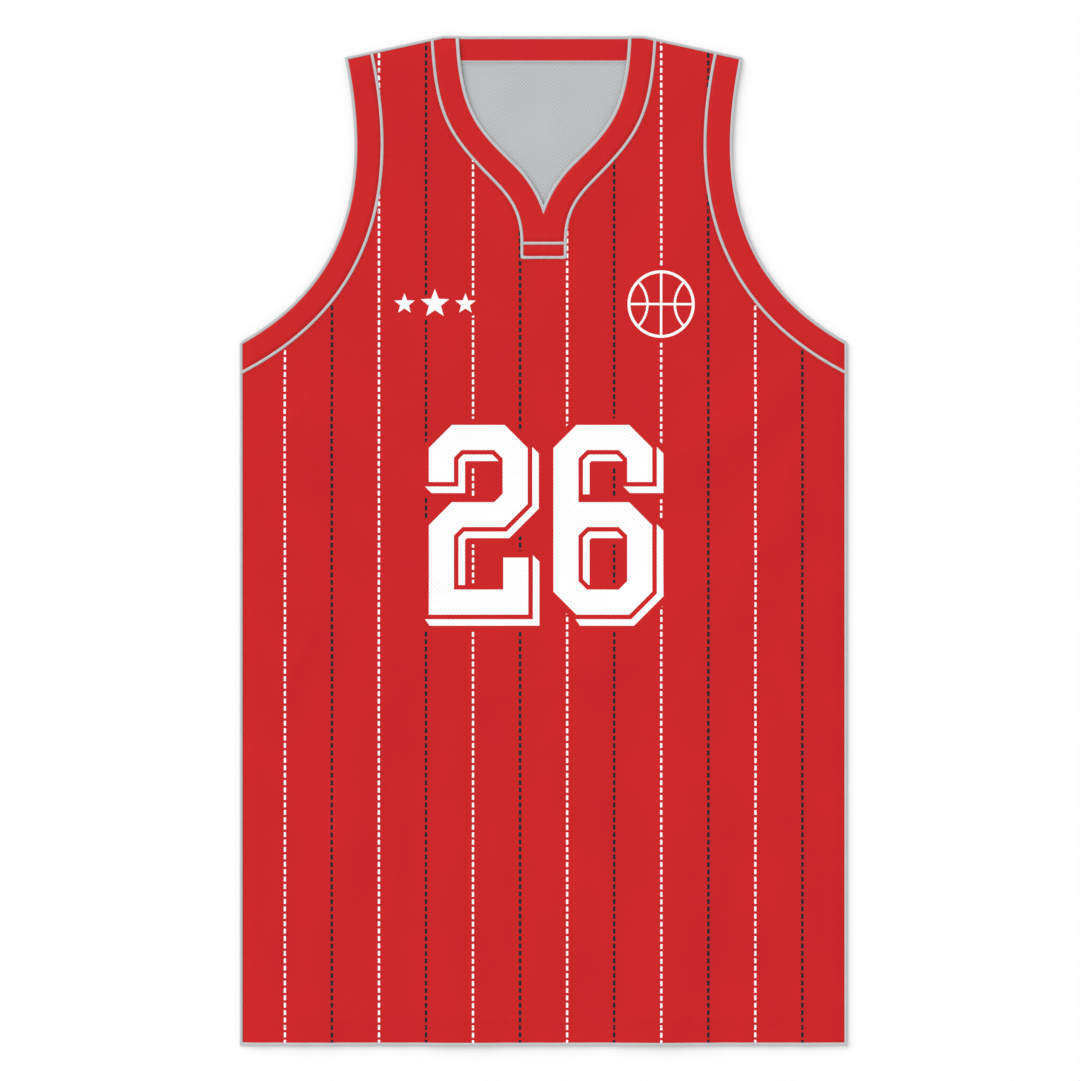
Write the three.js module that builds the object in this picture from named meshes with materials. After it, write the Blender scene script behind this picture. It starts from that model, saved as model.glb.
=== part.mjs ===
// A sleeveless basketball jersey laid flat on its back panel with its front up, in millimetres.
// +X runs to the viewer's right as they look down at the front, +Y towards the neck and +Z up.
// The origin is under the middle of the garment, on the surface that it lies on.
// "left" and "right" in the names are the viewer's.
//
// The front layer is cut as a panel, a notched collar with a small tab, and two armhole bands.
// The back layer is cut as a panel, a collar and two armhole bands, all lying flat on the surface.
// A narrow piping is sewn into each seam, and a narrow edging finishes the hem, armholes and neck.

import * as THREE from "three";

// Overall size, to the outside of the piping.
const HALF_WIDTH = 244.3;
const HALF_LENGTH = 406;

// Cloth, piping, the clearance that is left at each seam, and how near two corners are taken as one.
const CLOTH = 1.0;
const BAND_CLOTH = 1.6;
const PIPING_WIDTH = 2.4;
const PIPING_HEIGHT = 1.6;
const PIPING_CROWN = 0.5;
const BACK_PIPING_LIFT = 0.2;
const SEAM_GAP = 0.3;
const MERGE_STEP = 0.002;
const HALF_SEAM = PIPING_WIDTH / 2 + SEAM_GAP;
const EDGE_IN = PIPING_WIDTH + SEAM_GAP;

// How high the underside of the front layer lies, and how far its panel comes down to the side seams.
const FRONT_LIFT = 2.1;
const SIDE_DROP = 0.7;
const SIDE_DROP_REACH = 14;
const UNDERARM_FADE = 40;

// The shoulder seam rises in a straight line from the armhole to the neck, then runs level to its end.
const SHOULDER_TIP = [-160, 388.6];
const SHOULDER_NECK = [-80.8, HALF_LENGTH];
const SHOULDER_END_X = -68.5;
const BACK_NECK_HALF_WIDTH = 68.2;
const MIDDLE = [at(0, 0), at(0, 1)];

// Curves of the viewer's left half, each as a start, two pulls and an end.
const ARMHOLE_EDGE = [[[-244.3, 159.7], [-149.3, 212.2], [-142.1, 298.6], [-160, 387.9]]];
const ARMHOLE_SEAM = [[[-242.8, 135.1], [-156.8, 179.5], [-109.6, 257.8], [-138.1, 391.1]]];
const COLLAR_SEAM = [
  [[-89.5, 402.4], [-86.3, 346.6], [-78.2, 329.1], [-47.4, 297.2]],
  [[-47.4, 297.2], [-31.2, 280.4], [-17.4, 269.6], [-17.4, 239]],
];
const COLLAR_EDGE = [
  [[-70.6, 402.4], [-67.9, 343.3], [-52.5, 328.8], [-24.5, 301.7]],
  [[-24.5, 301.7], [-13.9, 291.4], [-4.4, 277], [0, 261.3]],
];

// The tab under the V of the neck, between the middles of its pipings.
const TAB_HALF_WIDTH = 17.4;
const TAB_TOP = 239;
const TAB_BOTTOM = 227.5;

// The back collar: its lower seam runs level, and turns up to the shoulder seam in a rounded corner.
const BACK_SEAM_Y = 385.5;
const BACK_SEAM_CORNER = [[-89.5, 402.4], [-88.5, 391], [-85, BACK_SEAM_Y], [-74, BACK_SEAM_Y]];

// Rows and columns of the front panel, and steps along the curves. A seam's pieces share its steps.
const HEM_ROWS = 24;
const CHEST_ROWS = 7;
const NECK_ROWS = 17;
const SIDE_COLUMNS = 10;
const MIDDLE_COLUMNS = 2;
const ARMHOLE_STEPS = CHEST_ROWS + NECK_ROWS;
const COLLAR_STEPS = NECK_ROWS - 1;
const BELOW_V_STEPS = 3;
const BACK_CORNER_STEPS = 5;
const BAND_COLUMNS = 2;
const COLLAR_COLUMNS = 3;
const CORD_SIDES = 8;

// The width of the front panel's outermost columns.
const EDGE_COLUMN = 10;

// How far from a closed seam the folds die out.
const PINNED_REACH = 46;

// The largest folds of the front: where each is, how its ridge is turned from +X in degrees,
// how far it reaches along the ridge and spreads across it, and how high it rises.
const FOLDS = [
  { x: -168, y: 78, turn: -38, reach: 66, spread: 21, rise: 3.6 },
  { x: -186, y: 8, turn: -62, reach: 84, spread: 20, rise: 2.6 },
  { x: 160, y: 92, turn: 34, reach: 60, spread: 20, rise: 3.2 },
  { x: 184, y: -6, turn: 64, reach: 92, spread: 22, rise: 2.9 },
  { x: -98, y: 232, turn: -72, reach: 58, spread: 22, rise: 1.9 },
  { x: 92, y: 214, turn: 66, reach: 50, spread: 21, rise: 2.2 },
  { x: 14, y: 196, turn: 86, reach: 34, spread: 24, rise: 1.6 },
  { x: -58, y: -96, turn: -24, reach: 96, spread: 30, rise: 2.0 },
  { x: 84, y: -72, turn: 28, reach: 82, spread: 27, rise: 2.2 },
  { x: -150, y: -214, turn: 80, reach: 118, spread: 25, rise: 3.1 },
  { x: -66, y: -316, turn: 96, reach: 96, spread: 27, rise: 3.4 },
  { x: 22, y: -236, turn: 88, reach: 104, spread: 29, rise: 2.1 },
  { x: 108, y: -300, turn: 83, reach: 112, spread: 25, rise: 3.6 },
  { x: 184, y: -204, turn: 101, reach: 86, spread: 22, rise: 2.6 },
];

const RED = new THREE.MeshStandardMaterial({ color: 0xcc292b, roughness: 0.86, metalness: 0 });
const BAND_RED = new THREE.MeshStandardMaterial({ color: 0xc72729, roughness: 0.8, metalness: 0 });
const GREY = new THREE.MeshStandardMaterial({ color: 0xbdbfc1, roughness: 0.6, metalness: 0 });

/** A plan point, with an optional extra height of the upper face there. */
function at(x, y, crown = 0) {
  return new THREE.Vector3(x, y, crown);
}

/** The point that is a share of the way from one plan point to another. */
function towards(from, to, share, crown = 0) {
  return at(from.x + (to.x - from.x) * share, from.y + (to.y - from.y) * share, crown);
}

/** A smooth step from 0 to 1 over a reach. */
function ease(distance, reach) {
  return THREE.MathUtils.smoothstep(distance, 0, reach);
}

/** Plan points at even steps along joined cubic curves. */
function curve(pieces, steps) {
  const path = new THREE.CurvePath();
  for (const ends of pieces) {
    path.add(new THREE.CubicBezierCurve3(...ends.map(([x, y]) => at(x, y))));
  }
  return path.getSpacedPoints(steps);
}

/** Plan points at even steps along a line of straight stretches. */
function evenly(line, steps) {
  const path = new THREE.CurvePath();
  for (let i = 1; i < line.length; i += 1) {
    path.add(new THREE.LineCurve3(line[i - 1], line[i]));
  }
  return Array.from({ length: steps + 1 }, (_, i) => path.getPoint(i / steps));
}

/** The unit vector to the left of the way from one plan point to the next. */
function leftOf(from, to) {
  return at(from.y - to.y, to.x - from.x).normalize();
}

/** A line moved to its left by a distance, with mitred corners. */
function moved(line, distance) {
  const last = line.length - 1;
  return line.map((p, i) => {
    const before = leftOf(line[Math.max(i, 1) - 1], line[Math.max(i, 1)]);
    const after = leftOf(line[Math.min(i, last - 1)], line[Math.min(i, last - 1) + 1]);
    const middle = before.clone().add(after).normalize();
    return p.clone().addScaledVector(middle, distance / middle.dot(before));
  });
}

/** Where the straight line through a and b crosses the one through c and d. */
function crossing(a, b, c, d) {
  const across = leftOf(c, d);
  const share = c.clone().sub(a).dot(across) / b.clone().sub(a).dot(across);
  return towards(a, b, share);
}

/** A line whose start is moved along it onto a straight edge, given by two points. */
function startedOn(line, edge) {
  return [crossing(line[1], line[0], ...edge), ...line.slice(1)];
}

/** A line whose two ends are moved along it onto two straight edges. */
function fitted(line, startEdge, endEdge) {
  return startedOn(startedOn(line, startEdge).reverse(), endEdge).reverse();
}

/** A line that is cut off where it first reaches the garment's middle. */
function upToMiddle(line) {
  const past = line.findIndex((p) => p.x > -SEAM_GAP);
  return [...line.slice(0, past), crossing(line[past - 1], line[past], ...MIDDLE)];
}

/** A line on the viewer's left, carried on by its mirror image from the garment's middle or across it. */
function bothSides(line) {
  const right = mirrored(line).reverse();
  return line.at(-1).x === 0 ? [...line, ...right.slice(1)] : [...line, ...right];
}

/** The mirror image of a line in the garment's middle. */
function mirrored(line) {
  return line.map((p) => at(-p.x, p.y, p.z));
}

/** The height of the shoulder and neck line, at the outside of its piping. */
function topAt(x) {
  const rise = (SHOULDER_NECK[1] - SHOULDER_TIP[1]) / (SHOULDER_NECK[0] - SHOULDER_TIP[0]);
  return Math.min(HALF_LENGTH, SHOULDER_TIP[1] + rise * (-SHOULDER_TIP[0] - Math.abs(x)));
}

/** How high the folds lift the front layer. */
function folds(x, y) {
  const pinned = ease(Math.min(HALF_WIDTH - Math.abs(x), topAt(x) - y), PINNED_REACH);
  const raised = FOLDS.reduce((sum, fold) => {
    const turn = THREE.MathUtils.degToRad(fold.turn);
    const ahead = (x - fold.x) * Math.cos(turn) + (y - fold.y) * Math.sin(turn);
    const aside = (y - fold.y) * Math.cos(turn) - (x - fold.x) * Math.sin(turn);
    return sum + fold.rise * Math.exp(-((ahead / fold.reach) ** 2) - (aside / fold.spread) ** 2);
  }, 0);
  return raised * pinned;
}

/** The underside of the front layer's bands, collar and piping. */
function frontUnder(x, y) {
  return FRONT_LIFT + folds(x, y);
}

/** The underside of the front panel, which comes down to the side seams below the underarm. */
function panelUnder(x, y) {
  const beside = 1 - ease(HALF_WIDTH - EDGE_IN - Math.abs(x), SIDE_DROP_REACH);
  return frontUnder(x, y) - SIDE_DROP * beside * ease(underarmY - y, UNDERARM_FADE);
}

/** Rows of points from one line across to another with the same number of points. */
function rowsBetween(lineA, lineB, columns, crown = () => 0) {
  return lineA.map((p, i) =>
    Array.from({ length: columns + 1 }, (_, j) => towards(p, lineB[i], j / columns, crown(j / columns))),
  );
}

/** The four-sided cells between rows of points. */
function cellsOf(rows) {
  return rows.slice(1).flatMap((row, i) => row.slice(1).map((p, j) => [rows[i][j], rows[i][j + 1], p, row[j]]));
}

/** Whether a cell's corners run clockwise as seen from above. */
function isClockwise(cell) {
  const area = cell.reduce((sum, p, i) => {
    const next = cell[(i + 1) % cell.length];
    return sum + p.x * next.y - next.x * p.y;
  }, 0);
  return area < 0;
}

/** A wall of cloth over plan cells: its underside follows a height, and its rim closes every free edge. */
function clothWall(cells, under, thickness) {
  const places = new Map();
  const below = [];
  const above = [];
  const indexOf = (p) => {
    const key = `${Math.round(p.x / MERGE_STEP)},${Math.round(p.y / MERGE_STEP)}`;
    if (!places.has(key)) {
      const low = under(p.x, p.y);
      places.set(key, below.length);
      below.push([p.x, p.y, low]);
      above.push([p.x, p.y, low + thickness + p.z]);
    }
    return places.get(key);
  };
  const faces = cells.map((cell) => (isClockwise(cell) ? [...cell].reverse() : cell).map(indexOf));
  const lift = below.length;
  const indices = [];
  const edges = new Map();
  for (const [a, b, c, d] of faces) {
    indices.push(a + lift, b + lift, c + lift, a + lift, c + lift, d + lift);
    indices.push(a, c, b, a, d, c);
    for (const [from, to] of [[a, b], [b, c], [c, d], [d, a]]) {
      if (!edges.delete(`${to},${from}`)) {
        edges.set(`${from},${to}`, [from, to]);
      }
    }
  }
  for (const [from, to] of edges.values()) {
    indices.push(from, to, to + lift, from, to + lift, from + lift);
  }
  return solid([...below, ...above].flat(), indices);
}

/** A geometry from a flat list of coordinates and triangle corners. */
function solid(coordinates, indices) {
  const geometry = new THREE.BufferGeometry();
  geometry.setAttribute("position", new THREE.Float32BufferAttribute(coordinates, 3));
  geometry.setIndex(indices);
  geometry.computeVertexNormals();
  return geometry;
}

/** A flat piece that lies on the surface, cut to a plan outline. */
function flatPiece(outline, thickness) {
  const shape = new THREE.Shape(outline.map((p) => new THREE.Vector2(p.x, p.y)));
  return new THREE.ExtrudeGeometry(shape, { depth: thickness, bevelEnabled: false });
}

/** A closed skin through rings of points, capped at its two ends. */
function throughRings(rings) {
  const sides = rings[0].length;
  const indices = [];
  for (let i = 1; i < rings.length; i += 1) {
    const [here, next] = [(i - 1) * sides, i * sides];
    for (let k = 0; k < sides; k += 1) {
      const turn = (k + 1) % sides;
      indices.push(here + k, here + turn, next + turn, here + k, next + turn, next + k);
    }
  }
  const last = (rings.length - 1) * sides;
  for (let k = 1; k < sides - 1; k += 1) {
    indices.push(0, k + 1, k, last, last + k, last + k + 1);
  }
  return solid(rings.flat().flatMap((p) => [p.x, p.y, p.z]), indices);
}

/** A round cord along plan points, whose middle lies at a height. */
function cord(line, heightAt) {
  const radius = PIPING_WIDTH / 2;
  const sides = moved(line, radius);
  const rings = line.map((p, i) => {
    const across = sides[i].clone().sub(p);
    const middle = at(p.x, p.y, heightAt(p.x, p.y));
    return Array.from({ length: CORD_SIDES }, (_, k) => {
      const turn = (Math.PI * (2 * k + 1)) / CORD_SIDES;
      const up = at(0, 0, radius * Math.sin(turn));
      return middle.clone().addScaledVector(across, Math.cos(turn)).add(up);
    });
  });
  return throughRings(rings);
}

/** A strip between two lines, whose upper face is rounded up to a ridge down its middle. */
function ridgedStrip(lineA, lineB, under) {
  const crown = (share) => PIPING_CROWN * (1 - Math.abs(2 * share - 1));
  return clothWall(cellsOf(rowsBetween(lineA, lineB, 2, crown)), under, PIPING_HEIGHT - PIPING_CROWN);
}

/** The two sides of the piping along a line, each carried on to the two straight edges that it ends on. */
function pipingSides(line, startEdge, endEdge) {
  return [PIPING_WIDTH / 2, -PIPING_WIDTH / 2].map((aside) => fitted(moved(line, aside), startEdge, endEdge));
}

/** A straight strip of piping between two points. */
function straightPiping(from, to, under) {
  const line = evenly([from, to], MIDDLE_COLUMNS);
  return ridgedStrip(moved(line, PIPING_WIDTH / 2), moved(line, -PIPING_WIDTH / 2), under);
}

/** The outline round two lines that run side by side. */
function around(lineA, lineB) {
  return [...lineA, ...[...lineB].reverse()];
}

// The straight edges that the pieces end on: each side, the hem, and the slope and level of the top.
const sideX = -(HALF_WIDTH - EDGE_IN);
const sideEdge = [at(sideX, 0), at(sideX, 1)];
const hemY = -(HALF_LENGTH - EDGE_IN);
const neckMiddleY = HALF_LENGTH - PIPING_WIDTH / 2;
const shoulderLine = [at(...SHOULDER_TIP), at(...SHOULDER_NECK), at(SHOULDER_END_X, HALF_LENGTH)];
const shoulderInside = moved(shoulderLine, -EDGE_IN);
const shoulderEdge = shoulderInside.slice(0, 2);
const neckEdge = shoulderInside.slice(1);

// The armhole's lines run from the underarm up to the shoulder, so their left is the open armhole.
const armholeSeam = curve(ARMHOLE_SEAM, ARMHOLE_STEPS);
const armholeEdge = curve(ARMHOLE_EDGE, ARMHOLE_STEPS);
const panelArmhole = fitted(moved(armholeSeam, -HALF_SEAM), sideEdge, shoulderEdge);
const bandInside = fitted(moved(armholeSeam, HALF_SEAM), sideEdge, shoulderEdge);
const bandOutside = fitted(moved(armholeEdge, -EDGE_IN), sideEdge, shoulderEdge);
const armholePiping = pipingSides(armholeSeam, sideEdge, shoulderEdge);
const armholeEdging = pipingSides(moved(armholeEdge, -PIPING_WIDTH / 2), sideEdge, shoulderEdge);
const underarmY = panelArmhole[0].y;

// The collar's lines run from the shoulder down to the tab, so their left is the neck opening.
const collarSeam = curve(COLLAR_SEAM, COLLAR_STEPS);
const collarEdge = curve(COLLAR_EDGE, COLLAR_STEPS);
const backSeam = curve([BACK_SEAM_CORNER], BACK_CORNER_STEPS);
const collarBottomY = TAB_TOP + HALF_SEAM;
const notchX = -(TAB_HALF_WIDTH + HALF_SEAM);
const notchY = TAB_BOTTOM - HALF_SEAM;

/** One row of the front panel, from the viewer's left to right. */
function panelRow(outer, inner) {
  const edge = EDGE_COLUMN / outer.distanceTo(inner);
  const half = [outer];
  for (let j = 0; j < SIDE_COLUMNS; j += 1) {
    half.push(towards(outer, inner, edge + ((1 - edge) * j) / (SIDE_COLUMNS - 1)));
  }
  const middle = evenly([half.at(-1), ...mirrored([half.at(-1)])], MIDDLE_COLUMNS).slice(1, -1);
  return [...half, ...middle, ...mirrored(half).reverse()];
}

/** The cells of the front panel: rows up the body and beside the chest, and two arms beside the neck. */
function frontPanelCells() {
  const body = [];
  for (let i = 0; i <= HEM_ROWS; i += 1) {
    const y = THREE.MathUtils.lerp(hemY, underarmY, i / HEM_ROWS);
    body.push(panelRow(at(sideX, y), at(notchX, y)));
  }
  panelArmhole.slice(1, CHEST_ROWS + 1).forEach((outer, i) => {
    const y = THREE.MathUtils.lerp(underarmY, notchY, (i + 1) / CHEST_ROWS);
    body.push(panelRow(outer, at(notchX, y)));
  });
  const seam = startedOn(moved(collarSeam, -HALF_SEAM), shoulderEdge).slice(0, -1);
  const neck = [at(notchX, notchY), at(notchX, collarBottomY), ...seam.reverse()];
  const besideNeck = neck.map((inner, i) => panelRow(panelArmhole[CHEST_ROWS + i], inner));
  const leftArm = cellsOf(besideNeck.map((row) => row.slice(0, SIDE_COLUMNS + 1)));
  return [...cellsOf(body), ...leftArm, ...leftArm.map(mirrored)];
}

/** The cells of the front collar: two arms that join below the tip of the V. */
function collarCells() {
  const outer = fitted(moved(collarSeam, HALF_SEAM), shoulderEdge, [at(0, collarBottomY), at(1, collarBottomY)]);
  const edge = startedOn(collarEdge, neckEdge);
  const belowV = evenly([edge.at(-1), at(0, collarBottomY)], BELOW_V_STEPS);
  const inner = [...evenly(edge, COLLAR_STEPS - BELOW_V_STEPS), ...belowV.slice(1)];
  const left = rowsBetween(outer, inner, COLLAR_COLUMNS);
  left[0] = left[0].map((p) => crossing(p, at(p.x, 0), ...(p.x < neckEdge[0].x ? shoulderEdge : neckEdge)));
  const cells = cellsOf(left);
  return [...cells, ...cells.map(mirrored)];
}

/** The two sides of the piping round the collar and its tab. */
function collarPipingSides() {
  const tabCorners = [at(-TAB_HALF_WIDTH, TAB_TOP), at(-TAB_HALF_WIDTH, TAB_BOTTOM)];
  const line = bothSides([...collarSeam.slice(0, -1), ...tabCorners]);
  return pipingSides(line, shoulderEdge, mirrored(shoulderEdge));
}

/** The two sides of the edging inside the V of the neck. */
function neckEdgingSides() {
  return [SEAM_GAP, EDGE_IN].map((distance) => {
    const line = upToMiddle(startedOn(moved(collarEdge, distance), neckEdge));
    return bothSides(evenly(line, COLLAR_STEPS));
  });
}

/** The back panel's outline: the hem, the sides, the armholes, the shoulders and the neck seam. */
function backPanelOutline() {
  const neck = startedOn(moved(backSeam, -HALF_SEAM), shoulderEdge);
  return bothSides([at(sideX, hemY), ...panelArmhole, ...neck]);
}

/** The back collar's outline, from shoulder seam to shoulder seam. */
function backCollarOutline() {
  return bothSides([neckEdge[0], ...startedOn(moved(backSeam, HALF_SEAM), shoulderEdge)]);
}

/** A strip of edging along the whole hem. */
function hemEdging(under) {
  const y = -(HALF_LENGTH - PIPING_WIDTH / 2);
  const line = evenly([at(-HALF_WIDTH, y), at(HALF_WIDTH, y)], 2 * SIDE_COLUMNS + MIDDLE_COLUMNS);
  return ridgedStrip(moved(line, PIPING_WIDTH / 2), moved(line, -PIPING_WIDTH / 2), under);
}

const jersey = new THREE.Group();

/** Adds one named piece. */
function add(name, geometry, material) {
  const mesh = new THREE.Mesh(geometry, material);
  mesh.name = name;
  jersey.add(mesh);
}

/** Adds a piece on the viewer's left and its mirror image, made with what turns a left line to its side. */
function addPair(name, make, material) {
  add(`${name}_left`, make((line) => line), material);
  add(`${name}_right`, make(mirrored), material);
}

const onTheSurface = () => 0;
const justAbove = () => BACK_PIPING_LIFT;

// The back layer.
add("back_panel", flatPiece(backPanelOutline(), CLOTH), RED);
add("back_collar", flatPiece(backCollarOutline(), BAND_CLOTH), BAND_RED);
const backPiping = pipingSides(bothSides(backSeam), shoulderEdge, mirrored(shoulderEdge));
const backNeckEnds = [-BACK_NECK_HALF_WIDTH, BACK_NECK_HALF_WIDTH].map((x) => at(x, neckMiddleY));
add("back_collar_piping", ridgedStrip(...backPiping, justAbove), GREY);
add("back_neck_edging", straightPiping(...backNeckEnds, justAbove), GREY);
addPair("back_band", (side) => flatPiece(around(side(bandOutside), side(bandInside)), BAND_CLOTH), BAND_RED);
addPair("back_armhole_piping", (side) => ridgedStrip(...armholePiping.map(side), justAbove), GREY);
addPair("back_armhole_edging", (side) => ridgedStrip(...armholeEdging.map(side), justAbove), GREY);

// The front layer.
const bandCells = cellsOf(rowsBetween(bandOutside, bandInside, BAND_COLUMNS));
add("front_panel", clothWall(frontPanelCells(), panelUnder, CLOTH), RED);
add("front_collar", clothWall(collarCells(), frontUnder, BAND_CLOTH), BAND_RED);
add("collar_piping", ridgedStrip(...collarPipingSides(), frontUnder), GREY);
add("collar_edging", ridgedStrip(...neckEdgingSides(), frontUnder), GREY);
add("front_band_left", clothWall(bandCells, frontUnder, BAND_CLOTH), BAND_RED);
add("front_band_right", clothWall(bandCells.map(mirrored), frontUnder, BAND_CLOTH), BAND_RED);
addPair("front_armhole_piping", (side) => ridgedStrip(...armholePiping.map(side), frontUnder), GREY);
addPair("front_armhole_edging", (side) => ridgedStrip(...armholeEdging.map(side), frontUnder), GREY);

// The tab under the V, and the bar of piping above it.
const tabX = -(TAB_HALF_WIDTH - HALF_SEAM);
const tabSide = [at(tabX, TAB_BOTTOM + HALF_SEAM), at(tabX, TAB_TOP - HALF_SEAM)];
const tabCells = cellsOf(rowsBetween(tabSide, mirrored(tabSide), MIDDLE_COLUMNS));
add("collar_tab", clothWall(tabCells, frontUnder, BAND_CLOTH), BAND_RED);
add("tab_piping", straightPiping(at(tabX, TAB_TOP), at(-tabX, TAB_TOP), frontUnder), GREY);

// The closed seams at the shoulders and the sides, and the hem.
const seamMiddle = (FRONT_LIFT + CLOTH) / 2 + SEAM_GAP;
const shoulderMiddle = moved(shoulderLine, -PIPING_WIDTH / 2);
addPair("shoulder_piping", (side) => cord(side(shoulderMiddle), () => seamMiddle), GREY);
const sideMiddle = (x, y) => seamMiddle - (SIDE_DROP / 2) * ease(underarmY - y, UNDERARM_FADE);
const sidePipingX = -(HALF_WIDTH - PIPING_WIDTH / 2);
const sidePipingTop = ARMHOLE_EDGE[0][0][1] - PIPING_WIDTH;
const sidePipingEnds = [at(sidePipingX, hemY), at(sidePipingX, underarmY - UNDERARM_FADE)];
const sidePipingLine = [...sidePipingEnds, at(sidePipingX, underarmY), at(sidePipingX, sidePipingTop)];
addPair("side_piping", (side) => cord(side(sidePipingLine), sideMiddle), GREY);
add("hem_edging_back", hemEdging(onTheSurface), GREY);
add("hem_edging_front", hemEdging(frontUnder), GREY);

export default jersey;
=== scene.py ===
"""A sleeveless basketball jersey, laid flat with its front up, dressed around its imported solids.

Plan sizes and heights are in millimetres until a mesh is made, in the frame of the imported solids:
+X to the viewer's right, +Y towards the neck and +Z up from the surface that the jersey lies on.
"left" and "right" are the viewer's.
"""

import logging
import math
from dataclasses import dataclass
from enum import Enum
from typing import Callable, Sequence

import bpy
import numpy as np
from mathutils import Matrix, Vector, noise
from mathutils.geometry import delaunay_2d_cdt
from mathutils.kdtree import KDTree


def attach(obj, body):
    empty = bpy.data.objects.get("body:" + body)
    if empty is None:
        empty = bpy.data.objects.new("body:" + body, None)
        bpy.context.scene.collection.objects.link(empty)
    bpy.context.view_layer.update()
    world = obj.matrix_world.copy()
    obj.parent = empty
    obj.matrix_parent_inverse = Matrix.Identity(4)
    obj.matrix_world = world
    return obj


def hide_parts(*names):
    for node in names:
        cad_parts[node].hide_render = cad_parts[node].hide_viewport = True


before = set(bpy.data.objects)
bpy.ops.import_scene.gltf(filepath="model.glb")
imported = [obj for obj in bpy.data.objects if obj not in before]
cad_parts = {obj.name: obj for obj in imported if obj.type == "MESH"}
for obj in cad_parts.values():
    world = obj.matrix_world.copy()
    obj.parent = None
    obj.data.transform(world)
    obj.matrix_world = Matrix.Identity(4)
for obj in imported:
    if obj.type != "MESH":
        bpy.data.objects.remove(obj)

LOG = logging.getLogger("jersey")
MM = 0.001
TINY = 1e-9
CURVE_POINTS = 240
SHARPEST_MITRE = 0.2
CARRIED_ON = 15.0  # millimetres that a line may be carried on to reach an edge
LEAST_STEP = 0.3  # millimetres from a line's last point but one to its last
ON_MIDDLE = 1e-6  # millimetres from the garment's middle that still count as on it
SHARP_EDGE = 60.0  # degrees from which an edge is shaded sharp
CORNER_REACH = 1e-4  # millimetres within which corners are merged
LEAST_CROSS = 1e-7  # square millimetres below which a triangle is dropped
CROWN = 0.6  # a rounded section's power: 0.5 is an ellipse's own, less is flatter on top
RIPPLE = (0.7, 2.0, 3)  # the noise's roughness, its step from octave to octave, its octaves
CLOUDS = (0.3, 0.7)  # the part of the noise's range that a shade's drift is spread over

Points = np.ndarray
Heights = Callable[[Points], np.ndarray]
Cubic = tuple[tuple[float, float], ...]


class Side(Enum):
    """The viewer's side that a piece is on. The value turns a left-hand x to that side."""

    LEFT = 1
    RIGHT = -1


class Layer(Enum):
    """The layer of the jersey that a piece belongs to."""

    FRONT = "front"
    BACK = "back"


class Slot(Enum):
    """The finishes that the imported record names."""

    MESH = "mesh_knit"
    RIB = "rib_knit"
    PIPING = "satin_piping"


class Form(Enum):
    """What a trim is made as."""

    TAPE = "tape"
    CORD = "cord"


# Lines in the plan


def curve(pieces: Sequence[Cubic], gap: float) -> Points:
    """Plan points at even steps along joined cubic curves.

    Args:
        pieces: The curves, each as a start, two pulls and an end.
        gap: About how far the points lie apart.

    Returns:
        The points, one a row.
    """
    share = np.linspace(0, 1, CURVE_POINTS)[:, None]
    parts = []
    for piece in pieces:
        start, pull, push, end = (np.array(p, float) for p in piece)
        parts.append(
            start * (1 - share) ** 3
            + 3 * pull * share * (1 - share) ** 2
            + 3 * push * share**2 * (1 - share)
            + end * share**3
        )
    return spaced(np.vstack(parts), gap)


def lengths_along(line: Points) -> np.ndarray:
    """How far along a line each of its points lies."""
    return np.concatenate([[0], np.cumsum(np.hypot(*np.diff(line, axis=0).T))])


def evenly(line: Points, steps: int) -> Points:
    """A line's points, set again at a number of even steps."""
    along = lengths_along(line)
    at = np.linspace(0, along[-1], steps + 1)
    return np.column_stack([np.interp(at, along, line[:, k]) for k in (0, 1)])


def spaced(line: Points, gap: float) -> Points:
    """A smooth line's points, set again about a gap apart."""
    return evenly(line, max(1, round(lengths_along(line)[-1] / gap)))


def cornered(corners: Sequence, gap: float, closed: bool = False) -> Points:
    """Points about a gap apart along straight stretches, with every corner kept.

    Args:
        corners: The corners, in order.
        gap: About how far the points lie apart.
        closed: Whether the last corner joins the first, which isn't given again.

    Returns:
        The points, without the first again at the end.
    """
    ring = [np.array(p, float) for p in corners]
    if closed:
        ring.append(ring[0])
    parts = [spaced(np.array([a, b]), gap)[:-1] for a, b in zip(ring, ring[1:])]
    return np.vstack(parts if closed else [*parts, ring[-1:]])


def left_of(ways: Points) -> Points:
    """The unit vectors to the left of some ways."""
    turned = np.column_stack([-ways[:, 1], ways[:, 0]])
    return turned / np.maximum(np.hypot(*turned.T), TINY)[:, None]


def moved(line: Points, distance: float, closed: bool = False) -> Points:
    """A line moved to its left by a distance, with mitred corners."""
    if closed:
        ways = np.roll(line, -1, 0) - line
        before, after = left_of(np.roll(ways, 1, 0)), left_of(ways)
    else:
        ways = left_of(np.diff(line, axis=0))
        before, after = np.vstack([ways[:1], ways]), np.vstack([ways, ways[-1:]])
    middle = before + after
    middle /= np.maximum(np.hypot(*middle.T), TINY)[:, None]
    spread = np.maximum((middle * before).sum(1), SHARPEST_MITRE)
    return line + middle * (distance / spread)[:, None]


def ended_on(line: Points, edge: Points) -> Points:
    """A line that is cut off, or carried straight on, where it meets a straight edge near its end.

    Args:
        line: The line.
        edge: Two points of the edge.

    Returns:
        The line, whose last point lies on the edge.
    """
    way = line[-1] - line[-2]
    longer = np.vstack([line, line[-1] + way * (CARRIED_ON / np.hypot(*way))])
    side = (longer - edge[0]) @ left_of(edge[1:] - edge[:1])[0]
    past = int(np.argmax(side * np.sign(side[len(line) // 2]) < 0))
    share = side[past - 1] / (side[past - 1] - side[past])
    last = longer[past - 1] + (longer[past] - longer[past - 1]) * share
    kept = longer[:past]
    near = np.hypot(*(kept[-1] - last)) < LEAST_STEP
    return np.vstack([kept[:-1] if near else kept, last])


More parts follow.
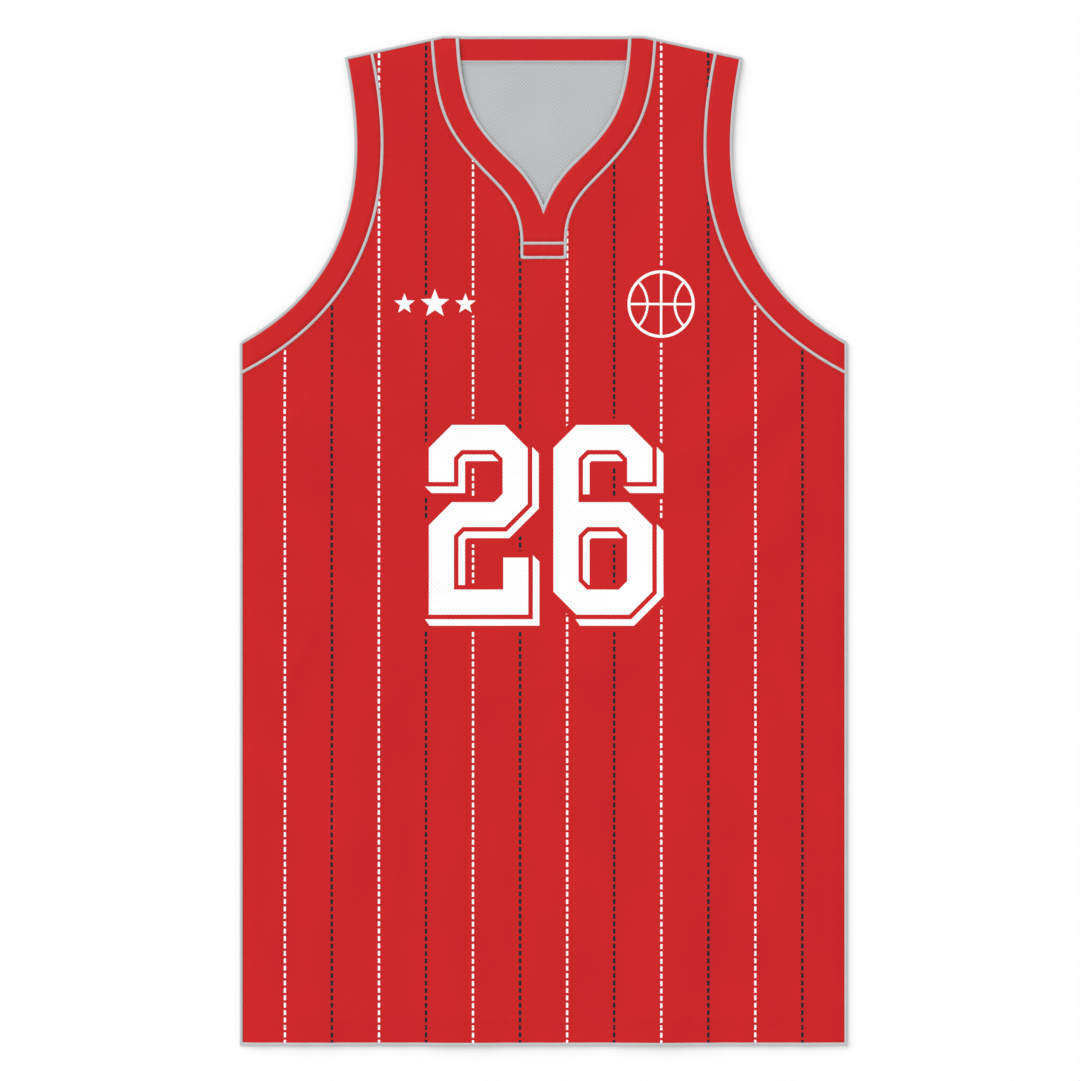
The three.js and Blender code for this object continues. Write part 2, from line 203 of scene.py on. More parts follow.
def fitted(line: Points, start_edge: Points, end_edge: Points) -> Points:
    """A line whose two ends lie on two straight edges."""
    return ended_on(ended_on(line[::-1], start_edge)[::-1], end_edge)


def turned_to(side: Side, line: Points) -> Points:
    """A left-hand line on the side that is asked for."""
    return line * (side.value, 1)


def both_sides(line: Points) -> Points:
    """A left-hand line, carried on by its mirror image."""
    right = turned_to(Side.RIGHT, line)[::-1]
    return np.vstack([line, right[1:] if abs(line[-1, 0]) < ON_MIDDLE else right])


def signed_area(outline: Points) -> float:
    """The plan area inside an outline, in square millimetres; below 0 if it runs clockwise."""
    x, y = outline.T
    return float(x @ np.roll(y, -1) - y @ np.roll(x, -1)) / 2


def spin_of(outline: Points) -> float:
    """1 for an outline that runs anticlockwise, -1 for one that runs clockwise."""
    return math.copysign(1, signed_area(outline))


def inside(points: Points, *outlines: Points) -> np.ndarray:
    """Whether each plan point lies inside an odd number of the closed outlines."""
    found = np.zeros(len(points), bool)
    x, y = points.T
    for outline in outlines:
        for (ax, ay), (bx, by) in zip(outline, np.roll(outline, -1, 0)):
            spans = np.flatnonzero((ay > y) != (by > y))
            crossing = ax + (y[spans] - ay) * (bx - ax) / (by - ay)
            found[spans] ^= x[spans] < crossing
    return found


def smooth(share: np.ndarray) -> np.ndarray:
    """A smooth step from 0 to 1 as a share goes from 0 to 1."""
    held = np.clip(share, 0, 1)
    return held * held * (3 - 2 * held)


def tree_of(points: Points) -> KDTree:
    """A tree that finds the nearest of some plan points."""
    tree = KDTree(len(points))
    for i, (x, y) in enumerate(points):
        tree.insert((x, y, 0), i)
    tree.balance()
    return tree


class Trace:
    """Finds how far plan points lie from some lines, and how far along them."""

    def __init__(self, lines: Sequence[Points], gap: float = 0.3) -> None:
        """Lays points closely along the lines."""
        parts = [spaced(line, gap) for line in lines]
        self.along = np.concatenate([lengths_along(part) for part in parts])
        self.tree = tree_of(np.vstack(parts))

    def nearest(self, points: Points) -> tuple[np.ndarray, np.ndarray]:
        """How far each point is from the lines, and how far along them its nearest place is."""
        found = [self.tree.find((x, y, 0)) for x, y in points]
        return np.array([f[2] for f in found]), self.along[[f[1] for f in found]]

    def distance(self, points: Points) -> np.ndarray:
        """How far each point is from the lines."""
        return self.nearest(points)[0]


# Meshes


@dataclass
class Skin:
    """A closed mesh in the making: its corners in millimetres, its faces and their finishes."""

    corners: Points
    faces: list[tuple[int, ...]]
    finishes: np.ndarray | None = None

    def made(self, name: str, materials: Sequence[bpy.types.Material]) -> bpy.types.Object:
        """The mesh as a smooth object in metres, with its faces outward."""
        mesh = bpy.data.meshes.new(name)
        mesh.from_pydata((self.corners * MM).tolist(), [], self.faces)
        for material in materials:
            mesh.materials.append(material)
        if self.finishes is not None:
            mesh.polygons.foreach_set("material_index", self.finishes.astype(np.int32))
        if self.volume(mesh) < 0:
            mesh.flip_normals()
        mesh.shade_smooth()
        mesh.set_sharp_from_angle(angle=math.radians(SHARP_EDGE))
        piece = bpy.data.objects.new(name, mesh)
        bpy.context.scene.collection.objects.link(piece)
        return piece

    @staticmethod
    def volume(mesh: bpy.types.Mesh) -> float:
        """The signed volume inside a closed mesh."""
        mesh.calc_loop_triangles()
        at = np.zeros(len(mesh.vertices) * 3)
        triangles = np.zeros(len(mesh.loop_triangles) * 3, np.int32)
        mesh.vertices.foreach_get("co", at)
        mesh.loop_triangles.foreach_get("vertices", triangles)
        a, b, c = at.reshape(-1, 3)[triangles.reshape(-1, 3)].transpose(1, 0, 2)
        return float((a * np.cross(b, c)).sum())


def cloth_skin(
    plan: Points, triangles: np.ndarray, outer: np.ndarray, inner: np.ndarray, inks: np.ndarray
) -> Skin:
    """A closed skin over plan triangles, with an outer face, an inner face and a rim.

    Args:
        plan: The plan points.
        triangles: Three indices a row, anticlockwise as seen from above.
        outer: The height of the outer face at each point.
        inner: The height of the inner face at each point.
        inks: The finish of each outer triangle, where 1 is the cloth's reverse.

    Returns:
        The skin. The rim has finish 0.
    """
    lift = len(plan)
    edges = np.vstack([triangles[:, pair] for pair in ([0, 1], [1, 2], [2, 0])])
    keys = np.sort(edges, 1) @ np.array([lift, 1])
    _, first, counts = np.unique(keys, return_index=True, return_counts=True)
    rim = edges[first[counts == 1]]
    faces = [tuple(t) for t in triangles.tolist()]
    faces += [(a + lift, c + lift, b + lift) for a, b, c in triangles.tolist()]
    faces += [(b, a, a + lift, b + lift) for a, b in rim.tolist()]
    corners = np.vstack([np.column_stack([plan, outer]), np.column_stack([plan, inner])])
    finishes = np.concatenate([inks, np.ones(len(triangles)), np.zeros(len(rim))])
    return Skin(corners, faces, finishes)


def strip_skin(
    line_a: Points, line_b: Points, section: "Section", heights: Heights, up: int = 1
) -> Skin:
    """A closed skin that carries a section along between two lines.

    Args:
        line_a: One side of the strip.
        line_b: The other side, with as many points.
        section: The strip's cross-section.
        heights: The height that the section is measured from, at each plan point.
        up: 1 to measure the section upwards, -1 downwards.

    Returns:
        The skin, closed at its two ends.
    """
    loop = section.loop()
    count = len(loop)
    rows = [line_a + (line_b - line_a) * share for share, _ in loop]
    lifts = [heights(row) + up * rise for row, (_, rise) in zip(rows, loop)]
    rings = np.stack([np.column_stack([row, z]) for row, z in zip(rows, lifts)], 1)
    faces = []
    for i in range(len(line_a) - 1):
        here, there = i * count, (i + 1) * count
        for k in range(count):
            turn = (k + 1) % count
            faces.append((here + k, here + turn, there + turn, there + k))
    last = (len(line_a) - 1) * count
    for k in range(count // 2 - 1):
        ends = (k, k + 1, count - 2 - k, count - 1 - k)
        faces.append(ends[::-1])
        faces.append(tuple(last + e for e in ends))
    return Skin(rings.reshape(-1, 3), faces)


@dataclass(frozen=True)
class Section:
    """A strip's cross-section: two chains of (share across, rise) with as many points each."""

    upper: tuple[tuple[float, float], ...]
    lower: tuple[tuple[float, float], ...]

    def loop(self) -> list[tuple[float, float]]:
        """The points round the section, along the upper chain and back along the lower."""
        return [*self.upper, *self.lower[::-1]]


def half_round(low: float, high: float, side: float = 0.12, steps: int = 8) -> Section:
    """The section of piping on a seam: flat below, with low upright sides, and rounded above."""
    turns = [math.pi * k / steps for k in range(steps + 1)]
    shares = [(1 - math.cos(turn)) / 2 for turn in turns]
    crown = [max(math.sin(turn), 0.0) ** CROWN for turn in turns]
    upper = tuple((s, low + side + (high - low - side) * c) for s, c in zip(shares, crown))
    return Section(upper, tuple((s, low) for s in shares))


def round_cord(radius: float, steps: int = 8) -> Section:
    """The section of a cord, measured from its middle."""
    turns = [math.pi * (k + 0.5) / (steps + 1) for k in range(steps + 1)]
    upper = tuple(((1 - math.cos(t)) / 2, radius * math.sin(t) ** CROWN) for t in turns)
    return Section(upper, tuple((s, -z) for s, z in upper))


def folded_edging(height: float, slot: tuple[float, float], depth: float) -> Section:
    """The section of an edging that is folded over a cloth edge, whose lips lie at share 0.

    Args:
        height: The height of the fold.
        slot: The heights of the slot's lower and upper face.
        depth: How far the slot reaches in, as a share of the width.

    Returns:
        The section: outside chain above, slot chain below.
    """
    half, (low, high) = height / 2, slot
    # Heights: the lip's thickness, its fall at the edge, and the slot's two rounding steps.
    lip, fall, step, next_step = 0.18, 0.2, 0.05, 0.12
    # Shares of the width: the lip's edge, where the top is flat, and the bend's middle and radius.
    edge, flat, bend_at, bend_by = 0.04, 0.16, 0.78, 0.22
    near, far = depth * 0.4, depth * 0.8
    turns = [math.pi * (0.5 - k / 6) for k in range(7)]
    bend = [(bend_at + bend_by * math.cos(t), half + half * math.sin(t)) for t in turns]
    outside = [(0.0, high + lip), (edge, height - fall), (flat, height), *bend]
    outside += [(flat, 0.0), (edge, fall), (0.0, low - lip)]
    pocket = [(0.0, high), (edge, high), (near, high), (far, high)]
    pocket += [(depth, high - step), (depth, high - next_step), (depth, (low + high) / 2)]
    pocket += [(depth, low + next_step), (depth, low + step), (far, low)]
    pocket += [(near, low), (edge, low), (0.0, low)]
    return Section(tuple(outside), tuple(pocket))


def hex_points(outline: Points, gap: float) -> Points:
    """Plan points in a honeycomb over an outline's box."""
    low, high = outline.min(0), outline.max(0)
    rows = []
    for i, y in enumerate(np.arange(low[1] + gap / 2, high[1], gap * math.sqrt(3) / 2)):
        xs = np.arange(low[0] + gap * (0.25 + 0.5 * (i % 2)), high[0], gap)
        rows.append(np.column_stack([xs, np.full(len(xs), y)]))
    return np.vstack(rows)


def triangulated(
    outline: Points, loose: Points, drawn: Sequence[Points]
) -> tuple[Points, np.ndarray]:
    """Plan triangles inside an outline, whose edges keep to it and to closed drawn lines.

    Args:
        outline: The closed outline.
        loose: Points to use inside it.
        drawn: Closed lines that no triangle crosses.

    Returns:
        The plan points, and three indices a row, anticlockwise.
    """
    rings = [outline, *drawn]
    at = [Vector(p) for ring in rings for p in ring.tolist()]
    edges, start = [], 0
    for ring in rings:
        count = len(ring)
        edges += [(start + k, start + (k + 1) % count) for k in range(count)]
        start += count
    at += [Vector(p) for p in loose.tolist()]
    found = delaunay_2d_cdt(at, edges, [], 0, CORNER_REACH)
    plan, triangles = np.array([tuple(v) for v in found[0]]), np.array(found[2])
    a, b, c = plan[triangles].transpose(1, 0, 2)
    kept = triangles[inside((a + b + c) / 3, outline)]
    ab, ac = plan[kept[:, 1]] - plan[kept[:, 0]], plan[kept[:, 2]] - plan[kept[:, 0]]
    cross = ab[:, 0] * ac[:, 1] - ab[:, 1] * ac[:, 0]
    kept[cross < 0] = kept[cross < 0][:, ::-1]
    kept = kept[np.abs(cross) > LEAST_CROSS]
    used, kept = np.unique(kept, return_inverse=True)
    return plan[used], kept.reshape(-1, 3)


# The cut


@dataclass(frozen=True)
class Fold:
    """A soft ridge in the cloth, its ridge turned from +X in degrees and bent along its way."""

    x: float
    y: float
    turn: float
    reach: float
    spread: float
    rise: float
    bend: float = 0.0

    def lift(self, points: Points, aside_by: float = 0.0, narrow: float = 1.0) -> np.ndarray:
        """How high the ridge, or a narrower one beside it, lifts each plan point."""
        turn = math.radians(self.turn)
        across = points - (self.x, self.y)
        ahead = across @ (math.cos(turn), math.sin(turn))
        aside = across @ (-math.sin(turn), math.cos(turn)) - self.bend * ahead**2
        aside = (aside - aside_by * self.spread) / (self.spread * narrow)
        return self.rise * np.exp(-((ahead / self.reach) ** 2) - aside**2)


@dataclass
class Cut:
    """The jersey's cut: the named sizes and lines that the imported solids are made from."""

    half_width: float = 244.3
    half_length: float = 406.0
    piping: float = 2.4
    v_allowance: float = 0.3
    rim_allowance: float = 0.2
    meet: float = 0.15
    closed_in: float = 1.4
    edging_in: float = 1.2
    join_clear: float = 0.4
    step: float = 2.4
    level_step: float = 3.0
    front_step: float = 4.0
    back_step: float = 5.0
    tab_step: float = 2.0
    shoulder: tuple = ((-160, 388.6), (-80.8, 406), (-68.5, 406))
    back_neck: float = 68.2
    tab: tuple = (17.4, 239.0, 227.5)
    armhole_edge: tuple = (((-244.3, 159.7), (-149.3, 212.2), (-142.1, 298.6), (-160, 387.9)),)
    armhole_seam: tuple = (((-242.8, 135.1), (-156.8, 179.5), (-109.6, 257.8), (-138.1, 391.1)),)
    collar_seam: tuple = (
        ((-89.5, 402.4), (-86.3, 346.6), (-78.2, 329.1), (-47.4, 297.2)),
        ((-47.4, 297.2), (-31.2, 280.4), (-17.4, 269.6), (-17.4, 239)),
    )
    collar_edge: tuple = (
        ((-70.6, 402.4), (-67.9, 343.3), (-52.5, 328.8), (-24.5, 301.7)),
        ((-24.5, 301.7), (-13.9, 291.4), (-4.4, 277), (0, 261.3)),
    )
    back_corner: tuple = (((-89.5, 402.4), (-88.5, 391), (-85, 385.5), (-74, 385.5)),)

    def __post_init__(self) -> None:
        """Draws the lines of the left half."""
        self.side_x = -(self.half_width - self.closed_in)
        self.hem_y = -(self.half_length - self.edging_in)
        self.side_edge = np.array([(self.side_x, 0.0), (self.side_x, 1.0)])
        self.middle = np.array([(0.0, 0.0), (0.0, 1.0)])
        self.shoulder_line = np.array(self.shoulder, float)
        self.top_line = moved(self.shoulder_line, -self.closed_in)
        self.slope, self.level = self.top_line[:2], self.top_line[1:]
        self.armhole, self.armhole_rim, self.collar, self.collar_rim, self.back_seam = (
            curve(pieces, self.step)
            for pieces in (
                self.armhole_seam,
                self.armhole_edge,
                self.collar_seam,
                self.collar_edge,
                self.back_corner,
            )
        )
        self.rim_foot_y = self.armhole_edge[0][0][1]
        self.panel_armhole = self.closed_ends(moved(self.armhole, -self.meet))
        self.underarm_y = float(self.panel_armhole[0, 1])

    def closed_ends(self, line: Points) -> Points:
        """An armhole line that runs from the side seam to the shoulder seam."""
        return fitted(line, self.side_edge, self.slope)

    def collar_path(self, aside: float) -> Points:
        """The collar's seam line with the tab's sides and foot, moved to its left."""
        half, _, foot = self.tab
        down = cornered([self.collar[-1], (-half, foot), (0, foot)], self.step)
        line = moved(np.vstack([self.collar[:-1], down]), aside)
        return ended_on(line[::-1], self.slope)[::-1]

    def rim_line(self, aside: float) -> Points:
        """The V's edge moved into the opening, from the shoulder to the garment's middle."""
        line = ended_on(moved(self.collar_rim, aside)[::-1], self.level)[::-1]
        return ended_on(line, self.middle) if aside else line

    def front_panel(self) -> Points:
        """The front panel's closed outline."""
        neck = self.collar_path(-self.meet)
        return both_sides(np.vstack([*self.panel_side(self.front_step, neck[0]), neck]))[:-1]

    def panel_side(self, step: float, neck: Points) -> tuple[Points, Points, Points]:
        """Half a panel's edge in three parts: hem and side, armhole, shoulder up to the neck."""
        corner = (self.side_x, self.hem_y)
        sides = cornered([(0, self.hem_y), corner, self.panel_armhole[0]], step)
        across = spaced(np.array([self.panel_armhole[-1], neck]), self.level_step)
        return sides[:-1], self.panel_armhole, across[1:-1]

    def front_collar(self) -> Points:
        """The front collar's closed outline: two arms that join below the point of the V."""
        half, top, _ = self.tab
        outer = moved(self.collar, self.meet)
        outer = ended_on(outer[::-1], self.slope)[::-1]
        outer = outer[outer[:, 1] > top + self.meet + self.join_clear]
        inner = self.rim_line(self.edging_in + self.v_allowance)
        shoulder = cornered([inner[0], self.top_line[1], outer[0]], self.step)
        foot = np.array([(self.meet - half, top + self.meet)])
        down = np.vstack([inner[::-1][:-1], shoulder[:-1], outer, foot])
        bar = spaced(np.array([foot[0], (0, top + self.meet)]), self.step)[1:]
        return both_sides(np.vstack([inner[-1:], down, bar]))[:-1]

    def collar_tab(self) -> Points:
        """The tab's closed outline."""
        half, top, foot = self.tab
        x, high, low = half - self.meet, top - self.meet, foot + self.meet
        corners = [(-x, low), (x, low), (x, high), (-x, high)]
        return cornered(corners, self.tab_step, closed=True)

    def band(self, side: Side) -> Points:
        """An armhole band's closed outline."""
        seam = self.closed_ends(moved(self.armhole, self.meet))
        rim = self.closed_ends(moved(self.armhole_rim, -self.edging_in))
        foot = spaced(np.array([rim[0], seam[0]]), self.step)[1:-1]
        top = spaced(np.array([seam[-1], rim[-1]]), self.step)[1:-1]
        return turned_to(side, np.vstack([foot, seam, top, rim[::-1]]))

    def back_panel(self) -> Points:
        """The back panel's closed outline."""
        neck, middle = self.back_neck_line(-self.meet)
        half = [*self.panel_side(self.back_step, neck[0]), neck, middle]
        return both_sides(np.vstack(half))[:-1]

    def back_neck_line(self, aside: float) -> tuple[Points, Points]:
        """The left half of the back collar's seam, moved: its corner, and its level middle."""
        line = ended_on(moved(self.back_seam, aside)[::-1], self.slope)[::-1]
        middle = spaced(np.array([line[-1], (0, line[-1, 1])]), self.level_step)
        return line, middle[1:]

    def back_collar(self) -> Points:
        """The back collar's closed outline."""
        seam, middle = self.back_neck_line(self.meet)
        top = (0, self.top_line[1, 1])
        shoulder = cornered([top, self.top_line[1], seam[0]], self.level_step)
        return both_sides(np.vstack([shoulder[:-1], seam, middle]))[:-1]

    def collar_strip(self) -> tuple[float, float]:
        """The width and length of the strip that the front collar is cut as."""
        _, top, _ = self.tab
        below_v = self.collar_rim[-1, 1] - top
        beside_v = Trace([self.collar_rim]).distance(self.collar[self.collar[:, 1] > top + below_v])
        return max(below_v, beside_v.max()), 2 * lengths_along(self.collar)[-1]

    def band_strip(self) -> tuple[float, float]:
        """The width and length of the strip that an armhole band is cut as."""
        widths = Trace([self.armhole_rim]).distance(self.armhole)
        return widths.max(), lengths_along(self.armhole)[-1]

    def closed_seams(self) -> list[Points]:
        """The side and shoulder seams, on both sides."""
        side = np.array([(self.side_x, self.hem_y), (self.side_x, self.rim_foot_y)])
        return [turned_to(to, line) for to in Side for line in (side, self.top_line)]


FOLDS = [
    Fold(*sizes)
    for sizes in (
        (-168, 78, -38, 66, 21, 3.6),
        (-186, 8, -62, 84, 20, 2.6),
        (160, 92, 34, 60, 20, 3.2),
        (184, -6, 64, 92, 22, 2.9),
        (-98, 232, -72, 58, 22, 1.9),
        (92, 214, 66, 50, 21, 2.2),
        (14, 196, 86, 34, 24, 1.6),
        (-58, -96, -24, 96, 30, 2.0),
        (84, -72, 28, 82, 27, 2.2),
        (-150, -214, 80, 118, 25, 3.1),
        (-66, -316, 96, 96, 27, 3.4),
        (22, -236, 88, 104, 29, 2.1),
        (108, -300, 83, 112, 25, 3.6),
        (184, -204, 101, 86, 22, 2.6),
    )
]

CREASES = [
    Fold(*sizes)
    for sizes in (
        (-212, -300, 88, 70, 7, 0.7, 0.0008),
        (-186, -338, 96, 58, 6, 0.6, -0.001),
        (-118, -262, 84, 84, 8, 0.8, 0.0009),
        (-92, -352, 98, 44, 6, 0.5, 0.0012),
        (-36, -252, 92, 76, 7, 0.7, -0.0008),
        (-8, -338, 86, 52, 6.5, 0.6, 0.001),
        (52, -276, 96, 80, 8, 0.8, -0.0009),
        (76, -356, 80, 40, 6, 0.5, 0.0014),
        (142, -246, 86, 74, 7.5, 0.7, 0.0008),
        (168, -330, 98, 60, 6.5, 0.6, -0.001),
        (214, -284, 92, 76, 7, 0.7, 0.0007),
        (-196, -96, 68, 60, 7, 0.7, 0.0016),
        (-142, -30, -36, 54, 7, 0.7, -0.0018),
        (-128, -132, 40, 46, 6.5, 0.5, 0.002),
        (146, -26, 34, 56, 7, 0.7, 0.0018),
        (204, -110, -72, 58, 7, 0.7, -0.0016),
        (122, -142, -38, 48, 6.5, 0.5, 0.002),
        (0, -118, 12, 60, 8, 0.5, 0.0014),
        (-206, 96, 44, 34, 6, 0.8, 0.002),
        (-190, 58, -50, 40, 6.5, 0.7, -0.002),
        (-150, 112, -30, 38, 6.5, 0.6, 0.0024),
        (204, 98, -46, 34, 6, 0.8, -0.002),
        (192, 52, 52, 42, 6.5, 0.7, 0.002),
        (146, 118, 28, 40, 6.5, 0.6, -0.0024),
        (-118, 300, -84, 44, 6, 0.5, 0.0012),
        (-132, 196, -58, 40, 6.5, 0.6, -0.0018),
        (118, 296, 82, 44, 6, 0.5, -0.0012),
        (128, 192, 60, 40, 6.5, 0.6, 0.0018),
        (-46, 170, -20, 30, 6, 0.4, 0.003),
        (52, 164, 24, 30, 6, 0.4, -0.003),
    )
]

BACK_WAVES = [
    Fold(*sizes)
    for sizes in (
        (-34, 352, 62, 40, 9, 0.5, 0.002),
        (6, 330, 84, 46, 10, 0.6, -0.002),
        (38, 356, 112, 38, 9, 0.45, 0.003),
        (-8, 372, 8, 48, 7, 0.3, 0.001),
    )
]


def rippled(points: Points, size: tuple[float, float], seed: float) -> np.ndarray:
    """Soft noise from about -1 to 1 whose bumps have that size along x and y."""
    width, length = size
    return np.array(
        [noise.fractal(Vector((x / width, y / length, seed)), *RIPPLE) for x, y in points]
    )


def gathered(along: np.ndarray, turn: float, sway: float, sway_turn: float) -> np.ndarray:
    """An uneven wave from -1 to 1.

    Args:
        along: The places along a seam.
        turn: How many radians it turns by in a millimetre.
        sway: How many radians it runs ahead and falls back by.
        sway_turn: How many radians the sway turns by in a millimetre.

    Returns:
        The wave at each place.
    """
    return np.sin(along * turn + sway * np.sin(along * sway_turn))


def level(height: float) -> Heights:
    """The same height everywhere."""
    return lambda points: np.full(len(points), height)


@dataclass(frozen=True)
class Ply:
    """How high a cloth's outer face lies in its layer, and how thick the cloth is."""

    top: float
    thickness: float


MESH_PLY = Ply(1.0, 0.5)
BAND_PLY = Ply(1.6, 1.1)


@dataclass
class Lie:
    """What both layers share: where they are sewn, and how the cloth thins there."""

    cut: Cut
    seam_thickness: float = 0.5
    thin_reach: float = 4.0

    def __post_init__(self) -> None:
        """Lays traces along the piped seams, the bound rims and the closed seams."""
        cut = self.cut
        armholes = [turned_to(side, cut.closed_ends(cut.armhole)) for side in Side]
        rims = [turned_to(side, moved(cut.armhole_rim, -cut.edging_in)) for side in Side]
        self.piped = Trace([*armholes, *self.neck_seams()])
        self.rims = Trace([*rims, *self.other_rims()])
        self.closed = Trace(cut.closed_seams())

    def neck_seams(self) -> list[Points]:
        """The layer's piped seams at the neck."""
        raise NotImplementedError

    def other_rims(self) -> list[Points]:
        """The layer's bound rims, apart from the armholes."""
        raise NotImplementedError

    def away(self, points: Points) -> tuple[np.ndarray, ...]:
        """How far each point is from the piped seams, the rims and the closed seams."""
        return tuple(trace.distance(points) for trace in (self.piped, self.rims, self.closed))

    def thinned(self, thickness: float, away: Sequence[np.ndarray]) -> np.ndarray:
        """The cloth's thickness at points that are that far away from the seams and rims."""
        share = smooth(np.minimum.reduce(away) / self.thin_reach)
        return self.seam_thickness + (thickness - self.seam_thickness) * share


@dataclass
class FrontLie(Lie):
    """How the front layer lies on the back one: its folds, puckers and seams."""

    up: int = 1
    lift: float = 2.1
    side_drop: float = 0.7
    side_drop_reach: float = 14.0
    underarm_fade: float = 40.0
    pinned_reach: float = 46.0
    crease_reach: float = 16.0
    seam_top: float = 0.55
    rim_top: float = 0.96
    closed_top: float = 0.3
    seam_hold: float = 1.0
    seam_reach: float = 2.3
    rim_reach: float = 3.0
    closed_reach: float = 9.0
    # A crest's place beside its fold's ridge, its width and its height, as shares of the fold's.
    crest: tuple[float, float, float] = (0.55, 0.36, 0.2)
    # Each ripple's height, its size along x and y, and its seed.
    ripples: tuple = ((0.34, (46, 64), 1.7), (0.1, (13, 17), 5.2))
    # A row of gathers: its turn, its sway and the sway's turn.
    seam_gathers: tuple[float, float, float] = (0.62, 1.9, 0.083)
    hem_gathers: tuple[float, float, float] = (0.21, 1.3, 0.037)
    gather_swell: tuple[float, float] = (0.047, 0.6)
    seam_pucker: float = 0.28
    seam_pucker_reach: float = 7.0
    hem_pucker: float = 0.22
    hem_pucker_reach: float = 16.0

    def neck_seams(self) -> list[Points]:
        """The seam round collar and tab, and the one over the tab."""
        half, top, _ = self.cut.tab
        return [both_sides(self.cut.collar_path(0)), np.array([(-half, top), (half, top)])]

    def other_rims(self) -> list[Points]:
        """The V, and the way down from the cloth's edge to its point."""
        edge = self.cut.rim_line(self.cut.edging_in + self.cut.v_allowance)
        return [both_sides(edge), np.array([edge[-1], self.cut.collar_rim[-1]])]

    def top_at(self, x: np.ndarray) -> np.ndarray:
        """The height of the shoulder and neck line in the plan."""
        (tip_x, tip_y), (neck_x, neck_y), _ = self.cut.shoulder
        slope = (neck_y - tip_y) / (neck_x - tip_x)
        return np.minimum(neck_y, tip_y + slope * (-tip_x - np.abs(x)))

    def from_seams(self, points: Points) -> np.ndarray:
        """How far each point lies inside the sides and the top."""
        x, y = points.T
        return np.minimum(self.cut.half_width - np.abs(x), self.top_at(x) - y)

    def folds(self, points: Points) -> np.ndarray:
        """How high the large folds lift the cloth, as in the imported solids."""
        pinned = smooth(self.from_seams(points) / self.pinned_reach)
        return pinned * sum(fold.lift(points) for fold in FOLDS)

    def fine(self, points: Points) -> np.ndarray:
        """The small relief: crests on the folds, creases, ripples and puckers at the seams."""
        pinned = smooth(self.from_seams(points) / self.crease_reach)
        aside, narrow, height = self.crest
        relief = sum(fold.lift(points, aside, narrow) for fold in FOLDS) * height
        relief += sum(crease.lift(points) for crease in CREASES)
        relief += sum(rise * rippled(points, size, seed) for rise, size, seed in self.ripples)
        return pinned * relief + self.puckers(points)

    def puckers(self, points: Points) -> np.ndarray:
        """Small gathers that run out from the sewn seams and up from the hem."""
        away, along = self.piped.nearest(points)
        turn, start = self.gather_swell
        wave = gathered(along, *self.seam_gathers) * np.sin(along * turn + start)
        at_seams = self.seam_pucker * wave * np.exp(-away / self.seam_pucker_reach)
        x, y = points.T
        fade = np.exp(-(y - self.cut.hem_y) / self.hem_pucker_reach)
        return at_seams + self.hem_pucker * gathered(x, *self.hem_gathers) * fade

    def under(self, points: Points) -> np.ndarray:
        """The height of the layer's underside, as bands, collar and piping lie on it."""
        return self.lift + self.folds(points) + self.fine(points)

    def closed_down(self, points: Points, top: float) -> np.ndarray:
        """How high the outer face lies over the underside, for its way down to the closed seams."""
        share = smooth(self.closed.distance(points) / self.closed_reach)
        return self.closed_top + (top - self.closed_top) * share

    def seat(self, under_trim: float, top: float) -> Heights:
        """The height that a trim is measured from, which goes down with its cloth at closed seams.

        Args:
            under_trim: How high the cloth lies under the trim, away from closed seams.
            top: How high the cloth lies beside it.

        Returns:
            The height at each plan point.
        """
        return lambda points: self.under(points) - np.maximum(
            under_trim - self.closed_down(points, top), 0
        )

    def on_seam(self) -> Heights:
        """The height that piping is measured from."""
        return self.seat(self.seam_top, MESH_PLY.top)

    def on_rim(self) -> Heights:
        """The height that edging is measured from."""
        return self.seat(self.rim_top, BAND_PLY.top)

    def sinking(self, points: Points) -> np.ndarray:
        """How far the panel comes down to the side seams below the underarm."""
        x, y = points.T
        beside = 1 - smooth((-self.cut.side_x - np.abs(x)) / self.side_drop_reach)
        return self.side_drop * beside * smooth((self.cut.underarm_y - y) / self.underarm_fade)

    def faces(self, points: Points, ply: Ply, sinks: bool) -> tuple[np.ndarray, np.ndarray]:
        """The heights of a piece's outer and inner face.

        Args:
            points: The plan points.
            ply: The piece's cloth.
            sinks: Whether the piece comes down to the side seams.

        Returns:
            The outer and the inner heights.
        """
        away = seam, rim, _ = self.away(points)
        reached = [
            self.seam_top
            + (ply.top - self.seam_top) * smooth((seam - self.seam_hold) / self.seam_reach),
            self.rim_top + (ply.top - self.rim_top) * smooth(rim / self.rim_reach),
            self.closed_down(points, ply.top),
        ]
        base = self.under(points) - (self.sinking(points) if sinks else 0)
        outer = base + np.minimum.reduce(reached)
        return outer, outer - self.thinned(ply.thickness, away)


